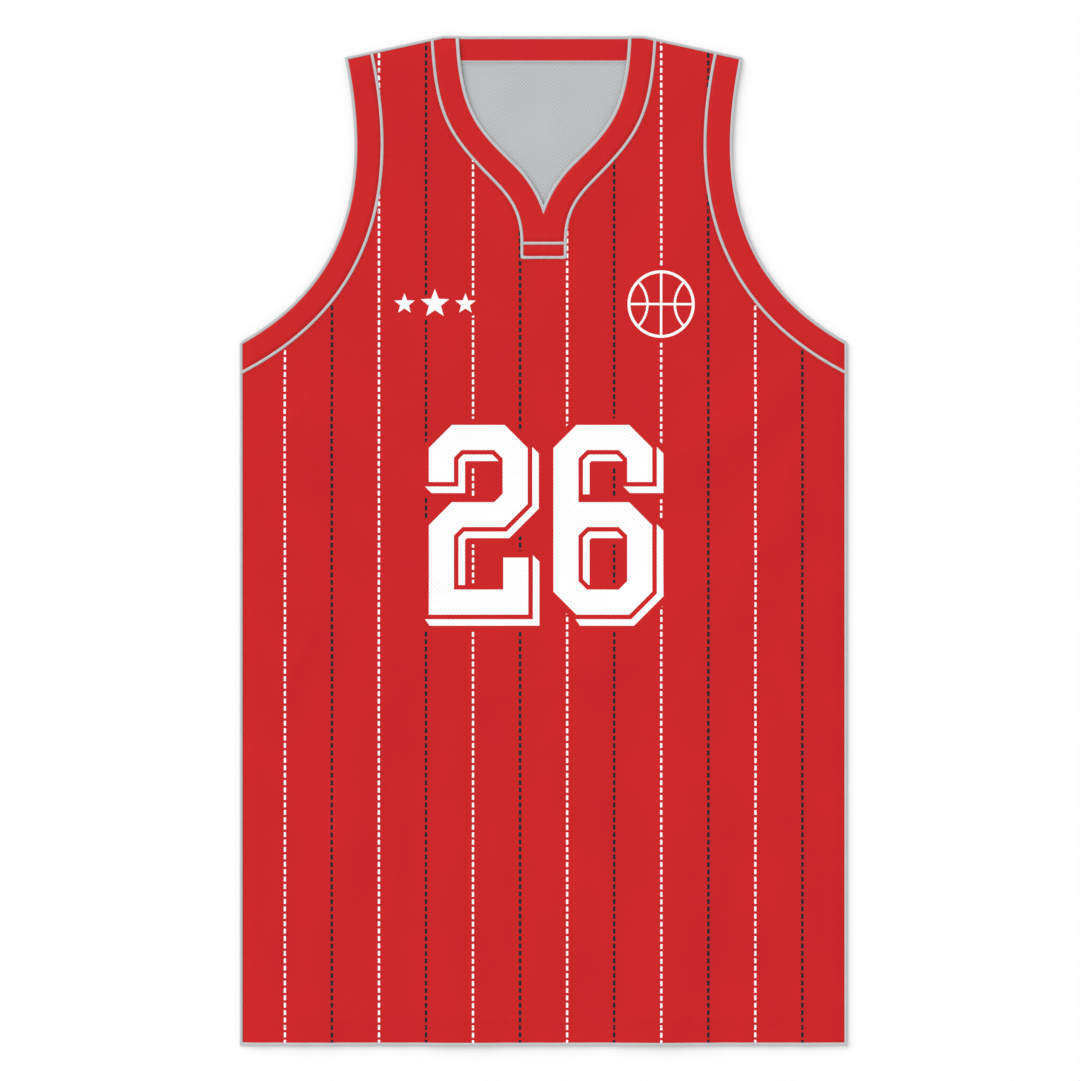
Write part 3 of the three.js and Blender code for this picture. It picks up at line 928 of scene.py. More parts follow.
@dataclass
class BackLie(Lie):
    """How the back layer lies on the surface, its outside down."""

    up: int = -1
    rest: float = 0.1
    seam_lift: float = 0.85
    rim_lift: float = 0.42
    closed_lift: float = 0.35
    seam_reach: float = 2.8
    rim_reach: float = 3.2
    closed_reach: float = 9.0
    piping_from: float = 1.6
    edging_from: float = 0.05
    # Where the inside shows in the V: its half width and its fade, and so on for its ends.
    shown_half: tuple[float, float] = (70.0, 24.0)
    shown_low: tuple[float, float] = (250.0, 40.0)
    shown_high: tuple[float, float] = (380.0, 18.0)
    shown_lift: float = 0.2

    def neck_seams(self) -> list[Points]:
        """The back collar's seam."""
        return [both_sides(self.cut.back_seam)]

    def other_rims(self) -> list[Points]:
        """The back neck and the hem."""
        cut = self.cut
        neck_y = cut.half_length - cut.edging_in
        return [
            np.array([(-cut.back_neck, neck_y), (cut.back_neck, neck_y)]),
            np.array([(cut.side_x, cut.hem_y), (-cut.side_x, cut.hem_y)]),
        ]

    def on_seam(self) -> Heights:
        """The height that piping is measured down from."""
        return level(self.piping_from)

    def on_rim(self) -> Heights:
        """The height that edging is measured from."""
        return level(self.edging_from)

    def waves(self, points: Points) -> np.ndarray:
        """Low waves where the inside of the back shows in the V."""
        x, y = np.abs(points[:, 0]), points[:, 1]
        half, half_fade = self.shown_half
        low, low_fade = self.shown_low
        high, high_fade = self.shown_high
        shown = smooth((half - x) / half_fade) * smooth((y - low) / low_fade)
        shown *= smooth((high - y) / high_fade)
        return shown * (sum(wave.lift(points) for wave in BACK_WAVES) + self.shown_lift)

    def faces(self, points: Points, ply: Ply, _sinks: bool) -> tuple[np.ndarray, np.ndarray]:
        """The heights of a piece's outer face, which is down, and of its inner face.

        Args:
            points: The plan points.
            ply: The piece's cloth.

        Returns:
            The outer and the inner heights.
        """
        away = self.away(points)
        lifts = (self.seam_lift, self.rim_lift, self.closed_lift)
        reaches = (self.seam_reach, self.rim_reach, self.closed_reach)
        lifted = [lift * (1 - smooth(a / r)) for lift, a, r in zip(lifts, away, reaches)]
        outer = self.rest + np.maximum.reduce(lifted) + self.waves(points)
        return outer, outer + self.thinned(ply.thickness, away)


# What is printed


class Ink(Enum):
    """The dyes that are printed into the mesh cloth. The value is the finish's place."""

    NONE = 0
    WHITE = 2
    DARK = 3


@dataclass
class Motif:
    """A printed shape: the closed lines that bound it and the outlines that it fills."""

    drawn: list[Points]
    covers: Callable[[Points], np.ndarray]
    clearance: float
    trace_gap: float = 0.4
    probe: float = 0.12
    box_margin: float = 0.5

    def __post_init__(self) -> None:
        """Lays a trace along the parts of the lines that bound the ink."""
        kept = []
        for line in self.drawn:
            fine = cornered(line, self.trace_gap, closed=True)
            aside = left_of(np.roll(fine, -1, 0) - fine) * self.probe
            kept.append(fine[self.covers(fine + aside) | self.covers(fine - aside)])
        rim = np.vstack(kept)
        self.tree = tree_of(rim)
        self.low, self.high = rim.min(0), rim.max(0)

    def around(self, points: Points, margin: float) -> np.ndarray:
        """Which of the points lie in the shape's box, or no farther from it than a margin."""
        found = (points > self.low - margin) & (points < self.high + margin)
        return np.flatnonzero(found.all(1))

    def away(self, points: Points) -> np.ndarray:
        """How far each point is from the ink's edge."""
        return np.array([self.tree.find((x, y, 0))[2] for x, y in points], float)

    def near(self, points: Points) -> np.ndarray:
        """Whether each point is in the shape or nearer to it than its clearance."""
        found = np.zeros(len(points), bool)
        at = self.around(points, self.clearance + self.box_margin)
        found[at] = (self.away(points[at]) < self.clearance) | self.covers(points[at])
        return found


@dataclass
class BlockNumber:
    """The number on the chest: two block digits, each with a shadow that falls down and right."""

    width: float = 79.4
    height: float = 152.4
    stroke: float = 20.1
    chamfer: float = 18.5
    inner_chamfer: float = 6.8
    hook: float = 45.8
    hook_chamfer: float = 6.1
    foot: float = 0.5
    bar: tuple[float, float] = (62.1, 82.0)
    top: float = 92.95
    lefts: tuple[float, float] = (-92.2, 7.9)
    gap: float = 3.7
    shadow: tuple[float, float] = (5.2, -5.2)
    shadow_stop: float = 6.4
    low_cut: float = 1.5
    # How far in from the gap's corner a strip begins: as a rule, and at a square upper corner.
    strip_in: tuple[float, float] = (0.7, 1.8)
    # How far an edge has to face the shadow's way to cast it, and how straight "straight" is.
    facing: float = 0.1
    straight: float = 0.9
    blank_margin: float = 0.2
    clearance: float = 5.0

    def two(self) -> list[list[tuple[float, float]]]:
        """The corners of the 2, x right and y down from its top left."""
        w, h, s, c, k = self.width, self.height, self.stroke, self.chamfer, self.inner_chamfer
        (m1, m2), j, right = self.bar, self.hook_chamfer, self.width + self.foot
        head = [(c, 0), (w - c, 0), (w, c), (w, m2 - c), (w - c, m2)]
        leg = [(s + k, m2), (s, m2 + k), (s, h - s), (right - s, h - s)]
        foot = [(right - s, h - self.hook), (right, h - self.hook), (right, h), (0, h)]
        neck = [(0, m1 + c), (c, m1), (w - s - k, m1), (w - s, m1 - k), (w - s, s + k)]
        hook = [(w - s - k, s), (s + j, s), (s, s + j), (s, self.hook), (0, self.hook), (0, c)]
        return [[*head, *leg, *foot, *neck, *hook]]

    def six(self) -> list[list[tuple[float, float]]]:
        """The corners of the 6 and of its counter."""
        w, h, s, c, k = self.width, self.height, self.stroke, self.chamfer, self.inner_chamfer
        m1, m2 = self.bar
        head = [(c, 0), (w - c, 0), (w, c), (w, self.hook), (w - s, self.hook), (w - s, s + k)]
        neck = [(w - s - k, s), (s + k, s), (s, s + k), (s, m1), (w - c, m1), (w, m1 + c)]
        bowl = [(w, h - c), (w - c, h), (c, h), (0, h - c), (0, c)]
        counter = [(s + k, m2), (w - s - k, m2), (w - s, m2 + k), (w - s, h - s - k)]
        counter += [(w - s - k, h - s), (s + k, h - s), (s, h - s - k), (s, m2 + k)]
        return [[*head, *neck, *bowl], counter]

    def strips(self, ring: Points, outward: float) -> list[Points]:
        """The shadow's strips beside the edges of a ring that face down or right.

        Args:
            ring: A digit's outline or counter, moved out by the gap.
            outward: 1 where the digit lies to the right of the ring's way, -1 where to its left.

        Returns:
            One closed strip an edge, cut off at 45 degrees where the next edge casts none.
        """
        width, _ = self.shadow
        sides = left_of(np.roll(ring, -1, 0) - ring)
        casts, ways = sides @ self.shadow * outward > self.facing * width, -left_of(sides)
        mitred = moved(ring, outward * width, closed=True)
        far = np.where((casts & np.roll(casts, 1))[:, None], mitred, ring + self.shadow)
        far[np.lexsort(ring.T)[0], 0] -= self.low_cut
        square = (sides * np.roll(sides, 1, 0)).sum(1) < self.facing
        begins = np.where(square, self.strip_in[1], self.strip_in[0])
        begins *= ~np.roll(casts, 1) & (ways[:, 1] < -self.straight)
        ends = self.strip_in[0] * (~np.roll(casts, -1) & (ways[:, 0] < -self.straight))
        strips = []
        for k in np.flatnonzero(casts):
            after, start, stop = (k + 1) % len(ring), ways[k] * begins[k], ways[k] * ends[k]
            strip = [ring[k] + start, ring[after] - stop, far[after] - stop, far[k] + start]
            strips.append(np.array(strip))
        return strips

    def motif(self) -> Motif:
        """Both digits and their shadows as one printed shape."""
        digits, drawn = [], []
        for left, rings in zip(self.lefts, (self.two(), self.six())):
            bodies, gaps, strips = [], [], []
            for ring in rings:
                body = np.array([(left + x, self.top - y) for x, y in ring])
                outward = -spin_of(body) if ring is rings[0] else spin_of(body)
                bodies.append(body)
                gaps.append(moved(body, outward * self.gap, closed=True))
                strips += self.strips(gaps[-1], outward)
            digits.append((bodies, gaps, strips))
            drawn += [*bodies, *gaps, *strips]
        low_x = self.lefts[1] + self.stroke + self.gap - self.blank_margin
        bar_y = self.top - self.bar[0]
        wide = self.shadow[0] + 2 * self.blank_margin
        corners = ((0, 0), (wide, 0), (wide, self.shadow_stop), (0, self.shadow_stop))
        blank = np.array([(low_x + x, bar_y + y) for x, y in corners])

        def covers(points: Points) -> np.ndarray:
            """Whether the digits or their shadows are printed at each point."""
            printed = np.zeros(len(points), bool)
            for bodies, gaps, strips in digits:
                shade = np.zeros(len(points), bool)
                for strip in strips:
                    shade |= inside(points, strip)
                shade &= ~inside(points, *gaps) & ~inside(points, blank)
                printed |= shade | inside(points, *bodies)
            return printed

        return Motif([*drawn, blank], covers, self.clearance)


@dataclass
class StarRow:
    """Three plain stars in a row on the viewer's left of the chest."""

    middle: tuple[float, float] = (-87.3, 190.2)
    radii: tuple[float, ...] = (8.6, 12.0, 8.6)
    step: float = 24.5
    waist: float = 0.42
    tips: int = 5
    clearance: float = 3.0

    def motif(self) -> Motif:
        """The stars as one printed shape."""
        stars = []
        for k, radius in enumerate(self.radii):
            turns = [math.pi * (0.5 + i / self.tips) for i in range(2 * self.tips)]
            reach = [radius * (self.waist if i % 2 else 1) for i in range(2 * self.tips)]
            corners = [(r * math.cos(t), r * math.sin(t)) for r, t in zip(reach, turns)]
            stars.append(self.middle + np.array(corners) + ((k - 1) * self.step, 0))
        return Motif(stars, lambda points: inside(points, *stars), self.clearance)


@dataclass
class BallRoundel:
    """A plain ball in a ring on the viewer's right of the chest."""

    middle: tuple[float, float] = (94.4, 190.0)
    radius: float = 27.0
    line: float = 1.8
    seam_radius: float = 25.0
    seam_aside: float = 36.0
    ring_share: float = 1.25
    ring_margin: float = 2.5
    clearance: float = 4.0

    def arc(self, x: float, radius: float, steps: int = 72) -> Points:
        """A circle beside the roundel's middle."""
        turns = np.arange(steps) * (2 * math.pi / steps)
        return self.middle + np.column_stack([x + radius * np.cos(turns), radius * np.sin(turns)])

    def motif(self) -> Motif:
        """The ball as one printed shape: its ring, its cross and its two side seams."""
        r, half = self.radius, self.line / 2
        ring, hole = self.arc(0, r), self.arc(0, r - self.line * self.ring_share)
        bar = np.array([(-r, -half), (r, -half), (r, half), (-r, half)])
        bars = [bar + self.middle, bar[:, ::-1] + self.middle]
        seams = [
            (self.arc(x, self.seam_radius + half), self.arc(x, self.seam_radius - half))
            for x in (-self.seam_aside, self.seam_aside)
        ]

        def covers(points: Points) -> np.ndarray:
            """Whether the ball is printed at each point."""
            lines = inside(points, ring, hole)
            for bar in bars:
                lines |= inside(points, bar)
            for outer, inner in seams:
                lines |= inside(points, outer, inner)
            return lines & inside(points, ring)

        drawn = [ring, hole, *bars]
        for pair in seams:
            drawn += [self.cut_to_ring(line) for line in pair]
        return Motif(drawn, covers, self.clearance)

    def cut_to_ring(self, circle: Points) -> Points:
        """The part of a side seam's circle that lies near the ring, as a closed line."""
        away = np.hypot(*(circle - self.middle).T)
        kept = away < self.radius + self.ring_margin
        start = int(np.argmax(kept & ~np.roll(kept, 1)))
        turned = np.roll(circle, -start, 0)
        return turned[np.roll(kept, -start)]


@dataclass
class Stripes:
    """The dashed pin stripes, white and dark by turns."""

    gap: float = 37.8
    count: int = 12
    # The width and length of a white and of a dark dash. The photo's are alike, 1.92 by 3.94 mm,
    # but in a render a fine white line comes out bolder, and a fine dark one thinner, than drawn.
    sizes: tuple[tuple[float, float], ...] = ((1.72, 3.84), (2.12, 4.04))
    period: float = 5.963
    first: float = 431.66
    dashes: int = 141
    columns: int = 9
    rows: int = 21
    reach: float = 12.0
    motifs: Sequence[Motif] = ()

    def __post_init__(self) -> None:
        """Sorts the dashes into whole ones, ones cut by a motif's clearance, and none."""
        self.xs = (np.arange(self.count) - (self.count - 1) / 2) * self.gap
        self.halves = np.array([self.sizes[i % 2] for i in range(self.count)]) / 2
        self.whole = np.ones((self.count, self.dashes), bool)
        self.parts: list[Points] = []
        for i, k in np.ndindex(self.whole.shape):
            middle = np.array([(self.xs[i], self.first - self.period * k)])
            near = [motif for motif in self.motifs if len(motif.around(middle, self.reach))]
            if near:
                self.whole[i, k] = self.clears(middle[0], self.halves[i], near)

    def clears(self, middle: Points, half: Points, motifs: Sequence[Motif]) -> bool:
        """Whether a dash clears the motifs. Where it doesn't, its clear part is kept."""
        across, along = (np.linspace(-h, h, n) for h, n in zip(half, (self.columns, self.rows)))
        grid = middle + np.array([(x, y) for x in across for y in along])
        hidden = np.any([motif.near(grid) for motif in motifs], axis=0)
        seen = ~hidden.reshape(self.columns, self.rows)
        ends = [(x, along[s].min(), along[s].max()) for x, s in zip(across, seen) if s.sum() > 1]
        if hidden.any() and len(ends) > 1:
            low = [(x, bottom) for x, bottom, _ in ends]
            high = [(x, top) for x, _, top in ends]
            self.parts.append(middle + np.array([*low, *high[::-1]]))
        return not hidden.any()

    def drawn(self) -> list[Points]:
        """The outlines of all dashes."""
        box = np.array([(-1, -1), (1, -1), (1, 1), (-1, 1)])
        return [
            box * self.halves[i] + (self.xs[i], self.first - self.period * k)
            for i, k in np.argwhere(self.whole)
        ] + self.parts

    def inks(self, points: Points) -> np.ndarray:
        """The ink of the stripes at each point."""
        x, y = points.T
        i = np.clip(np.round((x - self.xs[0]) / self.gap), 0, self.count - 1).astype(int)
        k = np.round((self.first - y) / self.period).astype(int)
        away = np.column_stack([x - self.xs[i], y - (self.first - self.period * k)])
        on = (np.abs(away) < self.halves[i]).all(1) & (k >= 0) & (k < self.dashes)
        on[on] &= self.whole[i[on], k[on]]
        for part in self.parts:
            at = np.flatnonzero(((points > part.min(0)) & (points < part.max(0))).all(1))
            on[at] |= inside(points[at], part)
        dyes = np.where(i % 2 == 0, Ink.WHITE.value, Ink.DARK.value)
        return np.where(on, dyes, Ink.NONE.value)

    def beside(self, points: Points, margin: float = 1.0) -> np.ndarray:
        """Whether each point lies so near a stripe that the dashes' corners serve for it."""
        away = np.abs(points[:, :1] - self.xs[None, :]).min(1)
        return away < self.halves[:, 0].max() + margin


@dataclass
class Print:
    """What is printed on a panel: the stripes, and motifs that the stripes keep clear of."""

    motifs: Sequence[Motif] = ()
    step: float = 4.0
    margin: float = 2.0
    clear: float = 0.9

    def __post_init__(self) -> None:
        """Lays out the stripes round the motifs."""
        self.stripes = Stripes(motifs=self.motifs)

    def drawn(self) -> list[Points]:
        """The closed lines that no triangle of the panel crosses."""
        lines = [line for motif in self.motifs for line in motif.drawn]
        return self.stripes.drawn() + [cornered(line, self.step, closed=True) for line in lines]

    def inks(self, points: Points) -> np.ndarray:
        """The ink at each point."""
        inks = self.stripes.inks(points)
        for motif in self.motifs:
            inks[motif.covers(points)] = Ink.WHITE.value
        return inks

    def beside(self, points: Points) -> np.ndarray:
        """Whether each point is too near a drawn line to be of use."""
        found = self.stripes.beside(points)
        for motif in self.motifs:
            at = motif.around(points, self.margin)
            found[at] |= motif.away(points[at]) < self.clear
        return found


# Finishes


def linear(colour: str) -> tuple[float, float, float, float]:
    """An sRGB hex colour as linear red, green, blue and alpha."""
    parts = [int(colour[k : k + 2], 16) / 255 for k in (1, 3, 5)]
    return (*(p / 12.92 if p <= 0.04045 else ((p + 0.055) / 1.055) ** 2.4 for p in parts), 1.0)


def add_node(
    tree: bpy.types.NodeTree, kind: str, settings: dict | None = None, links: dict | None = None
) -> bpy.types.Node:
    """Adds a node with its settings and links.

    Args:
        tree: The node tree.
        kind: The node's type, such as "ShaderNodeBump".
        settings: Values by an attribute's name, or by an input's name.
        links: Pairs of a node and its output, by the input's name or number.

    Returns:
        The new node.
    """
    made = tree.nodes.new(kind)
    for name, value in (settings or {}).items():
        if hasattr(made, name):
            setattr(made, name, value)
        else:
            made.inputs[name].default_value = value
    for name, (source, output) in (links or {}).items():
        tree.links.new(source.outputs[output], made.inputs[name])
    return made


def new_material(name: str) -> tuple[bpy.types.Material, bpy.types.NodeTree]:
    """An empty node material and its tree."""
    material = bpy.data.materials.new(name)
    material.use_nodes = True
    material.node_tree.nodes.clear()
    return material, material.node_tree


def cells(gap: float) -> float:
    """The scale that sets a texture's cells a gap in millimetres apart."""
    return 1 / (gap * MM)


def bands(gap: float, turn: float) -> float:
    """The scale that sets a wave texture's bands a gap in millimetres apart.

    Args:
        gap: The distance from band to band.
        turn: How many radians the texture turns by in one unit at a scale of 1.

    Returns:
        The scale.
    """
    return 2 * math.pi / (turn * gap * MM)


UPRIGHT_TURN = 20.0
SLANTED_TURN = 10.0 * math.sqrt(2)


@dataclass(frozen=True)
class Textile:
    """A dyed textile: its shade drifts a little over the cloth, and its gloss is dry."""

    name: str
    colour: str
    roughness: float = 0.7
    gloss: float = 0.3
    sheen: float = 0.0
    drift: tuple[float, float] = (0.97, 1.02)
    drift_size: float = 40.0  # millimetres

    def material(self) -> bpy.types.Material:
        """The finish as a node material."""
        material, tree = new_material(self.name)
        where = add_node(tree, "ShaderNodeTexCoord")
        clouds = add_node(
            tree,
            "ShaderNodeTexNoise",
            {"Scale": cells(self.drift_size), "Detail": 2.0},
            {"Vector": (where, "Object")},
        )
        (lowest, highest), (low, high) = CLOUDS, self.drift
        shade = add_node(
            tree,
            "ShaderNodeMapRange",
            {"From Min": lowest, "From Max": highest, "To Min": low, "To Max": high},
            {"Value": (clouds, "Fac")},
        )
        relief, tone = self.relief(tree, where, shade)
        dye = add_node(
            tree, "ShaderNodeHueSaturation", {"Color": linear(self.colour)}, {"Value": (tone, 0)}
        )
        shader = add_node(
            tree,
            "ShaderNodeBsdfPrincipled",
            {
                "Roughness": self.roughness,
                "Specular IOR Level": self.gloss,
                "Sheen Weight": self.sheen,
            },
            {"Base Color": (dye, "Color"), "Normal": (relief, "Normal")},
        )
        add_node(tree, "ShaderNodeOutputMaterial", links={"Surface": (shader, "BSDF")})
        return material

    def relief(
        self, tree: bpy.types.NodeTree, where: bpy.types.Node, shade: bpy.types.Node
    ) -> tuple[bpy.types.Node, bpy.types.Node]:
        """Adds the textile's own relief.

        Args:
            tree: The node tree.
            where: The texture coordinates.
            shade: The node that gives the drifting shade.

        Returns:
            The bump node, and the node whose first output is the shade with the relief's own.
        """
        raise NotImplementedError


@dataclass(frozen=True)
class EyeletMesh(Textile):
    """Warp-knitted polyester mesh, dyed by heat transfer.

    Rows of pinholes catch a little shade, and the flat filament yarn gives a soft, dry sheen.
    """

    roughness: float = 0.86
    gloss: float = 0.2
    sheen: float = 0.05
    drift: tuple[float, float] = (0.965, 1.02)
    drift_size: float = 70.0  # millimetres
    eyelet_gap: float = 2.2  # millimetres between pinholes, in rows turned by 45 degrees
    eyelet_radius: float = 0.48  # millimetres
    eyelet_shade: float = 0.8
    eyelet_rim: tuple[float, float] = (0.55, 1.25)  # where it begins and ends, in radii
    # A bump's strength, and its height in millimetres.
    pit: tuple[float, float] = (0.5, 0.3)
    rib: tuple[float, float] = (0.16, 0.12)
    wale_gap: float = 3.1  # millimetres, as wide as two pinholes; the real 0.5 mm doesn't show

    def relief(
        self, tree: bpy.types.NodeTree, where: bpy.types.Node, shade: bpy.types.Node
    ) -> tuple[bpy.types.Node, bpy.types.Node]:
        """Adds the pinholes and the wales, and shades the pinholes."""
        turned = add_node(
            tree,
            "ShaderNodeMapping",
            {"Rotation": (0, 0, math.radians(45))},
            {"Vector": (where, "Object")},
        )
        holes = add_node(
            tree,
            "ShaderNodeTexVoronoi",
            {"voronoi_dimensions": "2D", "Scale": cells(self.eyelet_gap), "Randomness": 0.0},
            {"Vector": (turned, "Vector")},
        )
        inner, outer = (self.eyelet_radius / self.eyelet_gap * share for share in self.eyelet_rim)
        yarn = add_node(
            tree,
            "ShaderNodeMapRange",
            {"From Min": inner, "From Max": outer},
            {"Value": (holes, "Distance")},
        )
        hollow = add_node(
            tree, "ShaderNodeMapRange", {"To Min": self.eyelet_shade}, {"Value": (yarn, "Result")}
        )
        tone = add_node(
            tree,
            "ShaderNodeMath",
            {"operation": "MULTIPLY"},
            {0: (shade, "Result"), 1: (hollow, "Result")},
        )
        wales = add_node(
            tree,
            "ShaderNodeTexWave",
            {"Scale": bands(self.wale_gap, UPRIGHT_TURN)},
            {"Vector": (where, "Object")},
        )
        ribs = add_node(
            tree,
            "ShaderNodeBump",
            {"Strength": self.rib[0], "Distance": self.rib[1] * MM},
            {"Height": (wales, "Fac")},
        )
        pits = add_node(
            tree,
            "ShaderNodeBump",
            {"Strength": self.pit[0], "Distance": self.pit[1] * MM},
            {"Height": (yarn, "Result"), "Normal": (ribs, "Normal")},
        )
        return pits, tone


@dataclass(frozen=True)
class InterlockKnit(Textile):
    """Interlock-knitted polyester for collar and bands, doubled and pressed.

    It is closer and smoother than the mesh, with small even stitches and a little more gloss.
    """

    roughness: float = 0.74
    gloss: float = 0.16
    sheen: float = 0.06
    drift: tuple[float, float] = (0.94, 0.99)
    stitch_gap: float = 1.8  # millimetres; the real 0.6 mm stitches are too fine to show
    stitch_drift: float = 0.15
    loop: tuple[float, float] = (0.3, 0.12)  # the bump's strength, and its height in millimetres

    def relief(
        self, tree: bpy.types.NodeTree, where: bpy.types.Node, shade: bpy.types.Node
    ) -> tuple[bpy.types.Node, bpy.types.Node]:
        """Adds the stitches."""
        stitches = add_node(
            tree,
            "ShaderNodeTexVoronoi",
            {
                "voronoi_dimensions": "2D",
                "Scale": cells(self.stitch_gap),
                "Randomness": self.stitch_drift,
            },
            {"Vector": (where, "Object")},
        )
        loops = add_node(
            tree,
            "ShaderNodeBump",
            {"Strength": self.loop[0], "Distance": self.loop[1] * MM, "invert": True},
            {"Height": (stitches, "Distance")},
        )
        return loops, shade


@dataclass(frozen=True)
class SatinTape(Textile):
    """Polyester satin tape, folded and pressed into piping and edging.

    Its floating threads run at a slant and give the grey a soft gloss.
    """

    roughness: float = 0.5
    gloss: float = 0.35
    sheen: float = 0.08
    drift: tuple[float, float] = (0.97, 1.03)
    drift_size: float = 12.0  # millimetres
    thread_gap: float = 1.6  # millimetres; the real 0.3 mm threads are too fine to show
    thread_height: float = 0.1  # millimetres
    thread_strength: float = 0.25

    def relief(
        self, tree: bpy.types.NodeTree, where: bpy.types.Node, shade: bpy.types.Node
    ) -> tuple[bpy.types.Node, bpy.types.Node]:
        """Adds the slanted threads."""
        twill = add_node(
            tree,
            "ShaderNodeTexWave",
            {"bands_direction": "DIAGONAL", "Scale": bands(self.thread_gap, SLANTED_TURN)},
            {"Vector": (where, "Object")},
        )
        threads = add_node(
            tree,
            "ShaderNodeBump",
            {"Strength": self.thread_strength, "Distance": self.thread_height * MM},
            {"Height": (twill, "Fac")},
        )
        return threads, shade


@dataclass(frozen=True)
class SewingThread(SatinTape):
    """Spun polyester thread: matt, with the twist of its plies at a slant."""

    roughness: float = 0.7
    gloss: float = 0.3
    sheen: float = 0.0
    thread_gap: float = 0.5  # millimetres from ply to ply
    thread_height: float = 0.05  # millimetres


@dataclass(frozen=True)
class BackdropPaper:
    """Matt white background paper, seamless and without gloss."""

    name: str
    colour: str
    roughness: float = 0.95
    gloss: float = 0.1

    def material(self) -> bpy.types.Material:
        """The finish as a node material."""
        material, tree = new_material(self.name)
        shader = add_node(
            tree,
            "ShaderNodeBsdfPrincipled",
            {
                "Base Color": linear(self.colour),
                "Roughness": self.roughness,
                "Specular IOR Level": self.gloss,
            },
        )
        add_node(tree, "ShaderNodeOutputMaterial", links={"Surface": (shader, "BSDF")})
        return material


@dataclass
class Finishes:
    """Every finish of the jersey, made once."""

    red: str = "#CA1D20"
    # The tape's own grey. The mesh's reverse takes the same grey as painted shade; the real reverse
    # is paler.
    grey: str = "#BBBDBF"
    white: str = "#FDFDFD"
    dark: str = "#0F222D"

    def __post_init__(self) -> None:
        """Makes the materials. The mesh's are in the order of Ink, with the reverse second: a real
        face of the cloth whose grey is painted shade, darker than the real reverse's paler colour.
        """
        dyes = (self.red, self.grey, self.white, self.dark)
        names = ("red", "grey_reverse", "white_dye", "dark_dye")
        self.mesh = [
            EyeletMesh(f"knitted_polyester_mesh_{name}", dye).material()
            for name, dye in zip(names, dyes)
        ]
        self.band = [InterlockKnit("interlock_knit_polyester_red", self.red).material()] * 2
        self.tape = [SatinTape("satin_polyester_tape_grey", self.grey).material()]
        self.thread = [SewingThread("spun_polyester_thread_red", self.red).material()]


# The jersey


def dressed(piece: bpy.types.Object, nodes: Sequence[str], slot: Slot) -> bpy.types.Object:
    """Puts a piece on the jersey's body in place of its solids, and reports it."""
    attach(piece, "root")
    if nodes:
        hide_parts(*nodes)
    LOG.info("%s: %d faces", piece.name, len(piece.data.polygons))
    return piece


@dataclass
class Cloth:
    """A cut piece of cloth: its closed outline, how it lies and what is printed on it."""

    node: str
    outline: Points
    lie: Lie
    ply: Ply
    gap: float
    sinks: bool = False
    printed: Print | None = None
    rows: tuple[float, ...] = (0.8, 1.8, 3.0, 4.6, 6.6)
    row_clear: float = 0.85
    comb_clear: float = 0.45

    def loose(self) -> Points:
        """The points inside the piece: rows along its edge, and a honeycomb."""
        spin = spin_of(self.outline)
        edge = Trace([np.vstack([self.outline, self.outline[:1]])])
        kept = []
        for away in self.rows:
            row = moved(self.outline, spin * away, closed=True)
            row = row[inside(row, self.outline)]
            kept.append(row[edge.distance(row) > self.row_clear * away])
        comb = hex_points(self.outline, self.gap)
        comb = comb[inside(comb, self.outline)]
        comb = comb[edge.distance(comb) > self.rows[-1] + self.comb_clear * self.gap]
        points = np.vstack([*kept, comb])
        return points[~self.printed.beside(points)] if self.printed else points

    def made(self, materials: Sequence[bpy.types.Material], slot: Slot) -> bpy.types.Object:
        """The piece as an object, dressed in place of its solid."""
        drawn = self.printed.drawn() if self.printed else ()
        plan, triangles = triangulated(self.outline, self.loose(), drawn)
        outer, inner = self.lie.faces(plan, self.ply, self.sinks)
        middles = plan[triangles].mean(1)
        inks = self.printed.inks(middles) if self.printed else np.zeros(len(triangles))
        skin = cloth_skin(plan, triangles, outer, inner, inks)
        return dressed(skin.made(f"{self.node}_cloth", materials), [self.node], slot)


def sheet_of(
    piece: bpy.types.Object,
    outline: Points,
    flat: tuple[float, float],
    rests_on: str,
    sewn_on: Sequence[bpy.types.Object],
) -> None:
    """Logs the cut size and area of a piece of cloth that lies flat.

    Args:
        piece: The piece.
        outline: Its closed outline.
        flat: The width and length, in millimetres, that it is cut to.
        rests_on: The piece under it. Not used.
        sewn_on: The trims that are sewn to it.
    """
    width, length = (round(float(side), 1) * MM for side in flat)
    area = min(abs(signed_area(outline)) * MM * MM, width * length)
    list(sewn_on)
    LOG.info("%s: cut %.1f x %.1f mm, %.5f m2", piece.name, width / MM, length / MM, area)


@dataclass
class Trims:
    """The piping, edging and cord: their sections, and how a strip of one is sewn on."""

    tape: Sequence[bpy.types.Material]
    piping: Section = half_round(0.62, 1.45)
    thin_piping: Section = half_round(1.44, 1.7)
    edging: Section = folded_edging(1.5, (0.42, 1.0), 0.62)
    cord: Section = round_cord(1.22)

    def sewn(
        self,
        name: str,
        lines: Sequence[Points],
        section: Section,
        heights: Heights,
        up: int = 1,
        form: Form = Form.TAPE,
        has_solid: bool = True,
    ) -> bpy.types.Object:
        """Makes a strip between two lines.

        Args:
            name: The strip's name, which is its solid's where it has one.
            lines: Its two sides.
            section: Its section.
            heights: The height that the section is measured from.
            up: 1 to measure the section upwards, -1 downwards.
            form: Whether it is a tape or a cord.
            has_solid: Whether it takes a solid's place.

        Returns:
            The strip, dressed.
        """
        skin = strip_skin(*lines, section, heights, up)
        piece = skin.made(f"{name}_{form.value}", self.tape)
        return dressed(piece, [name] if has_solid else [], Slot.PIPING)


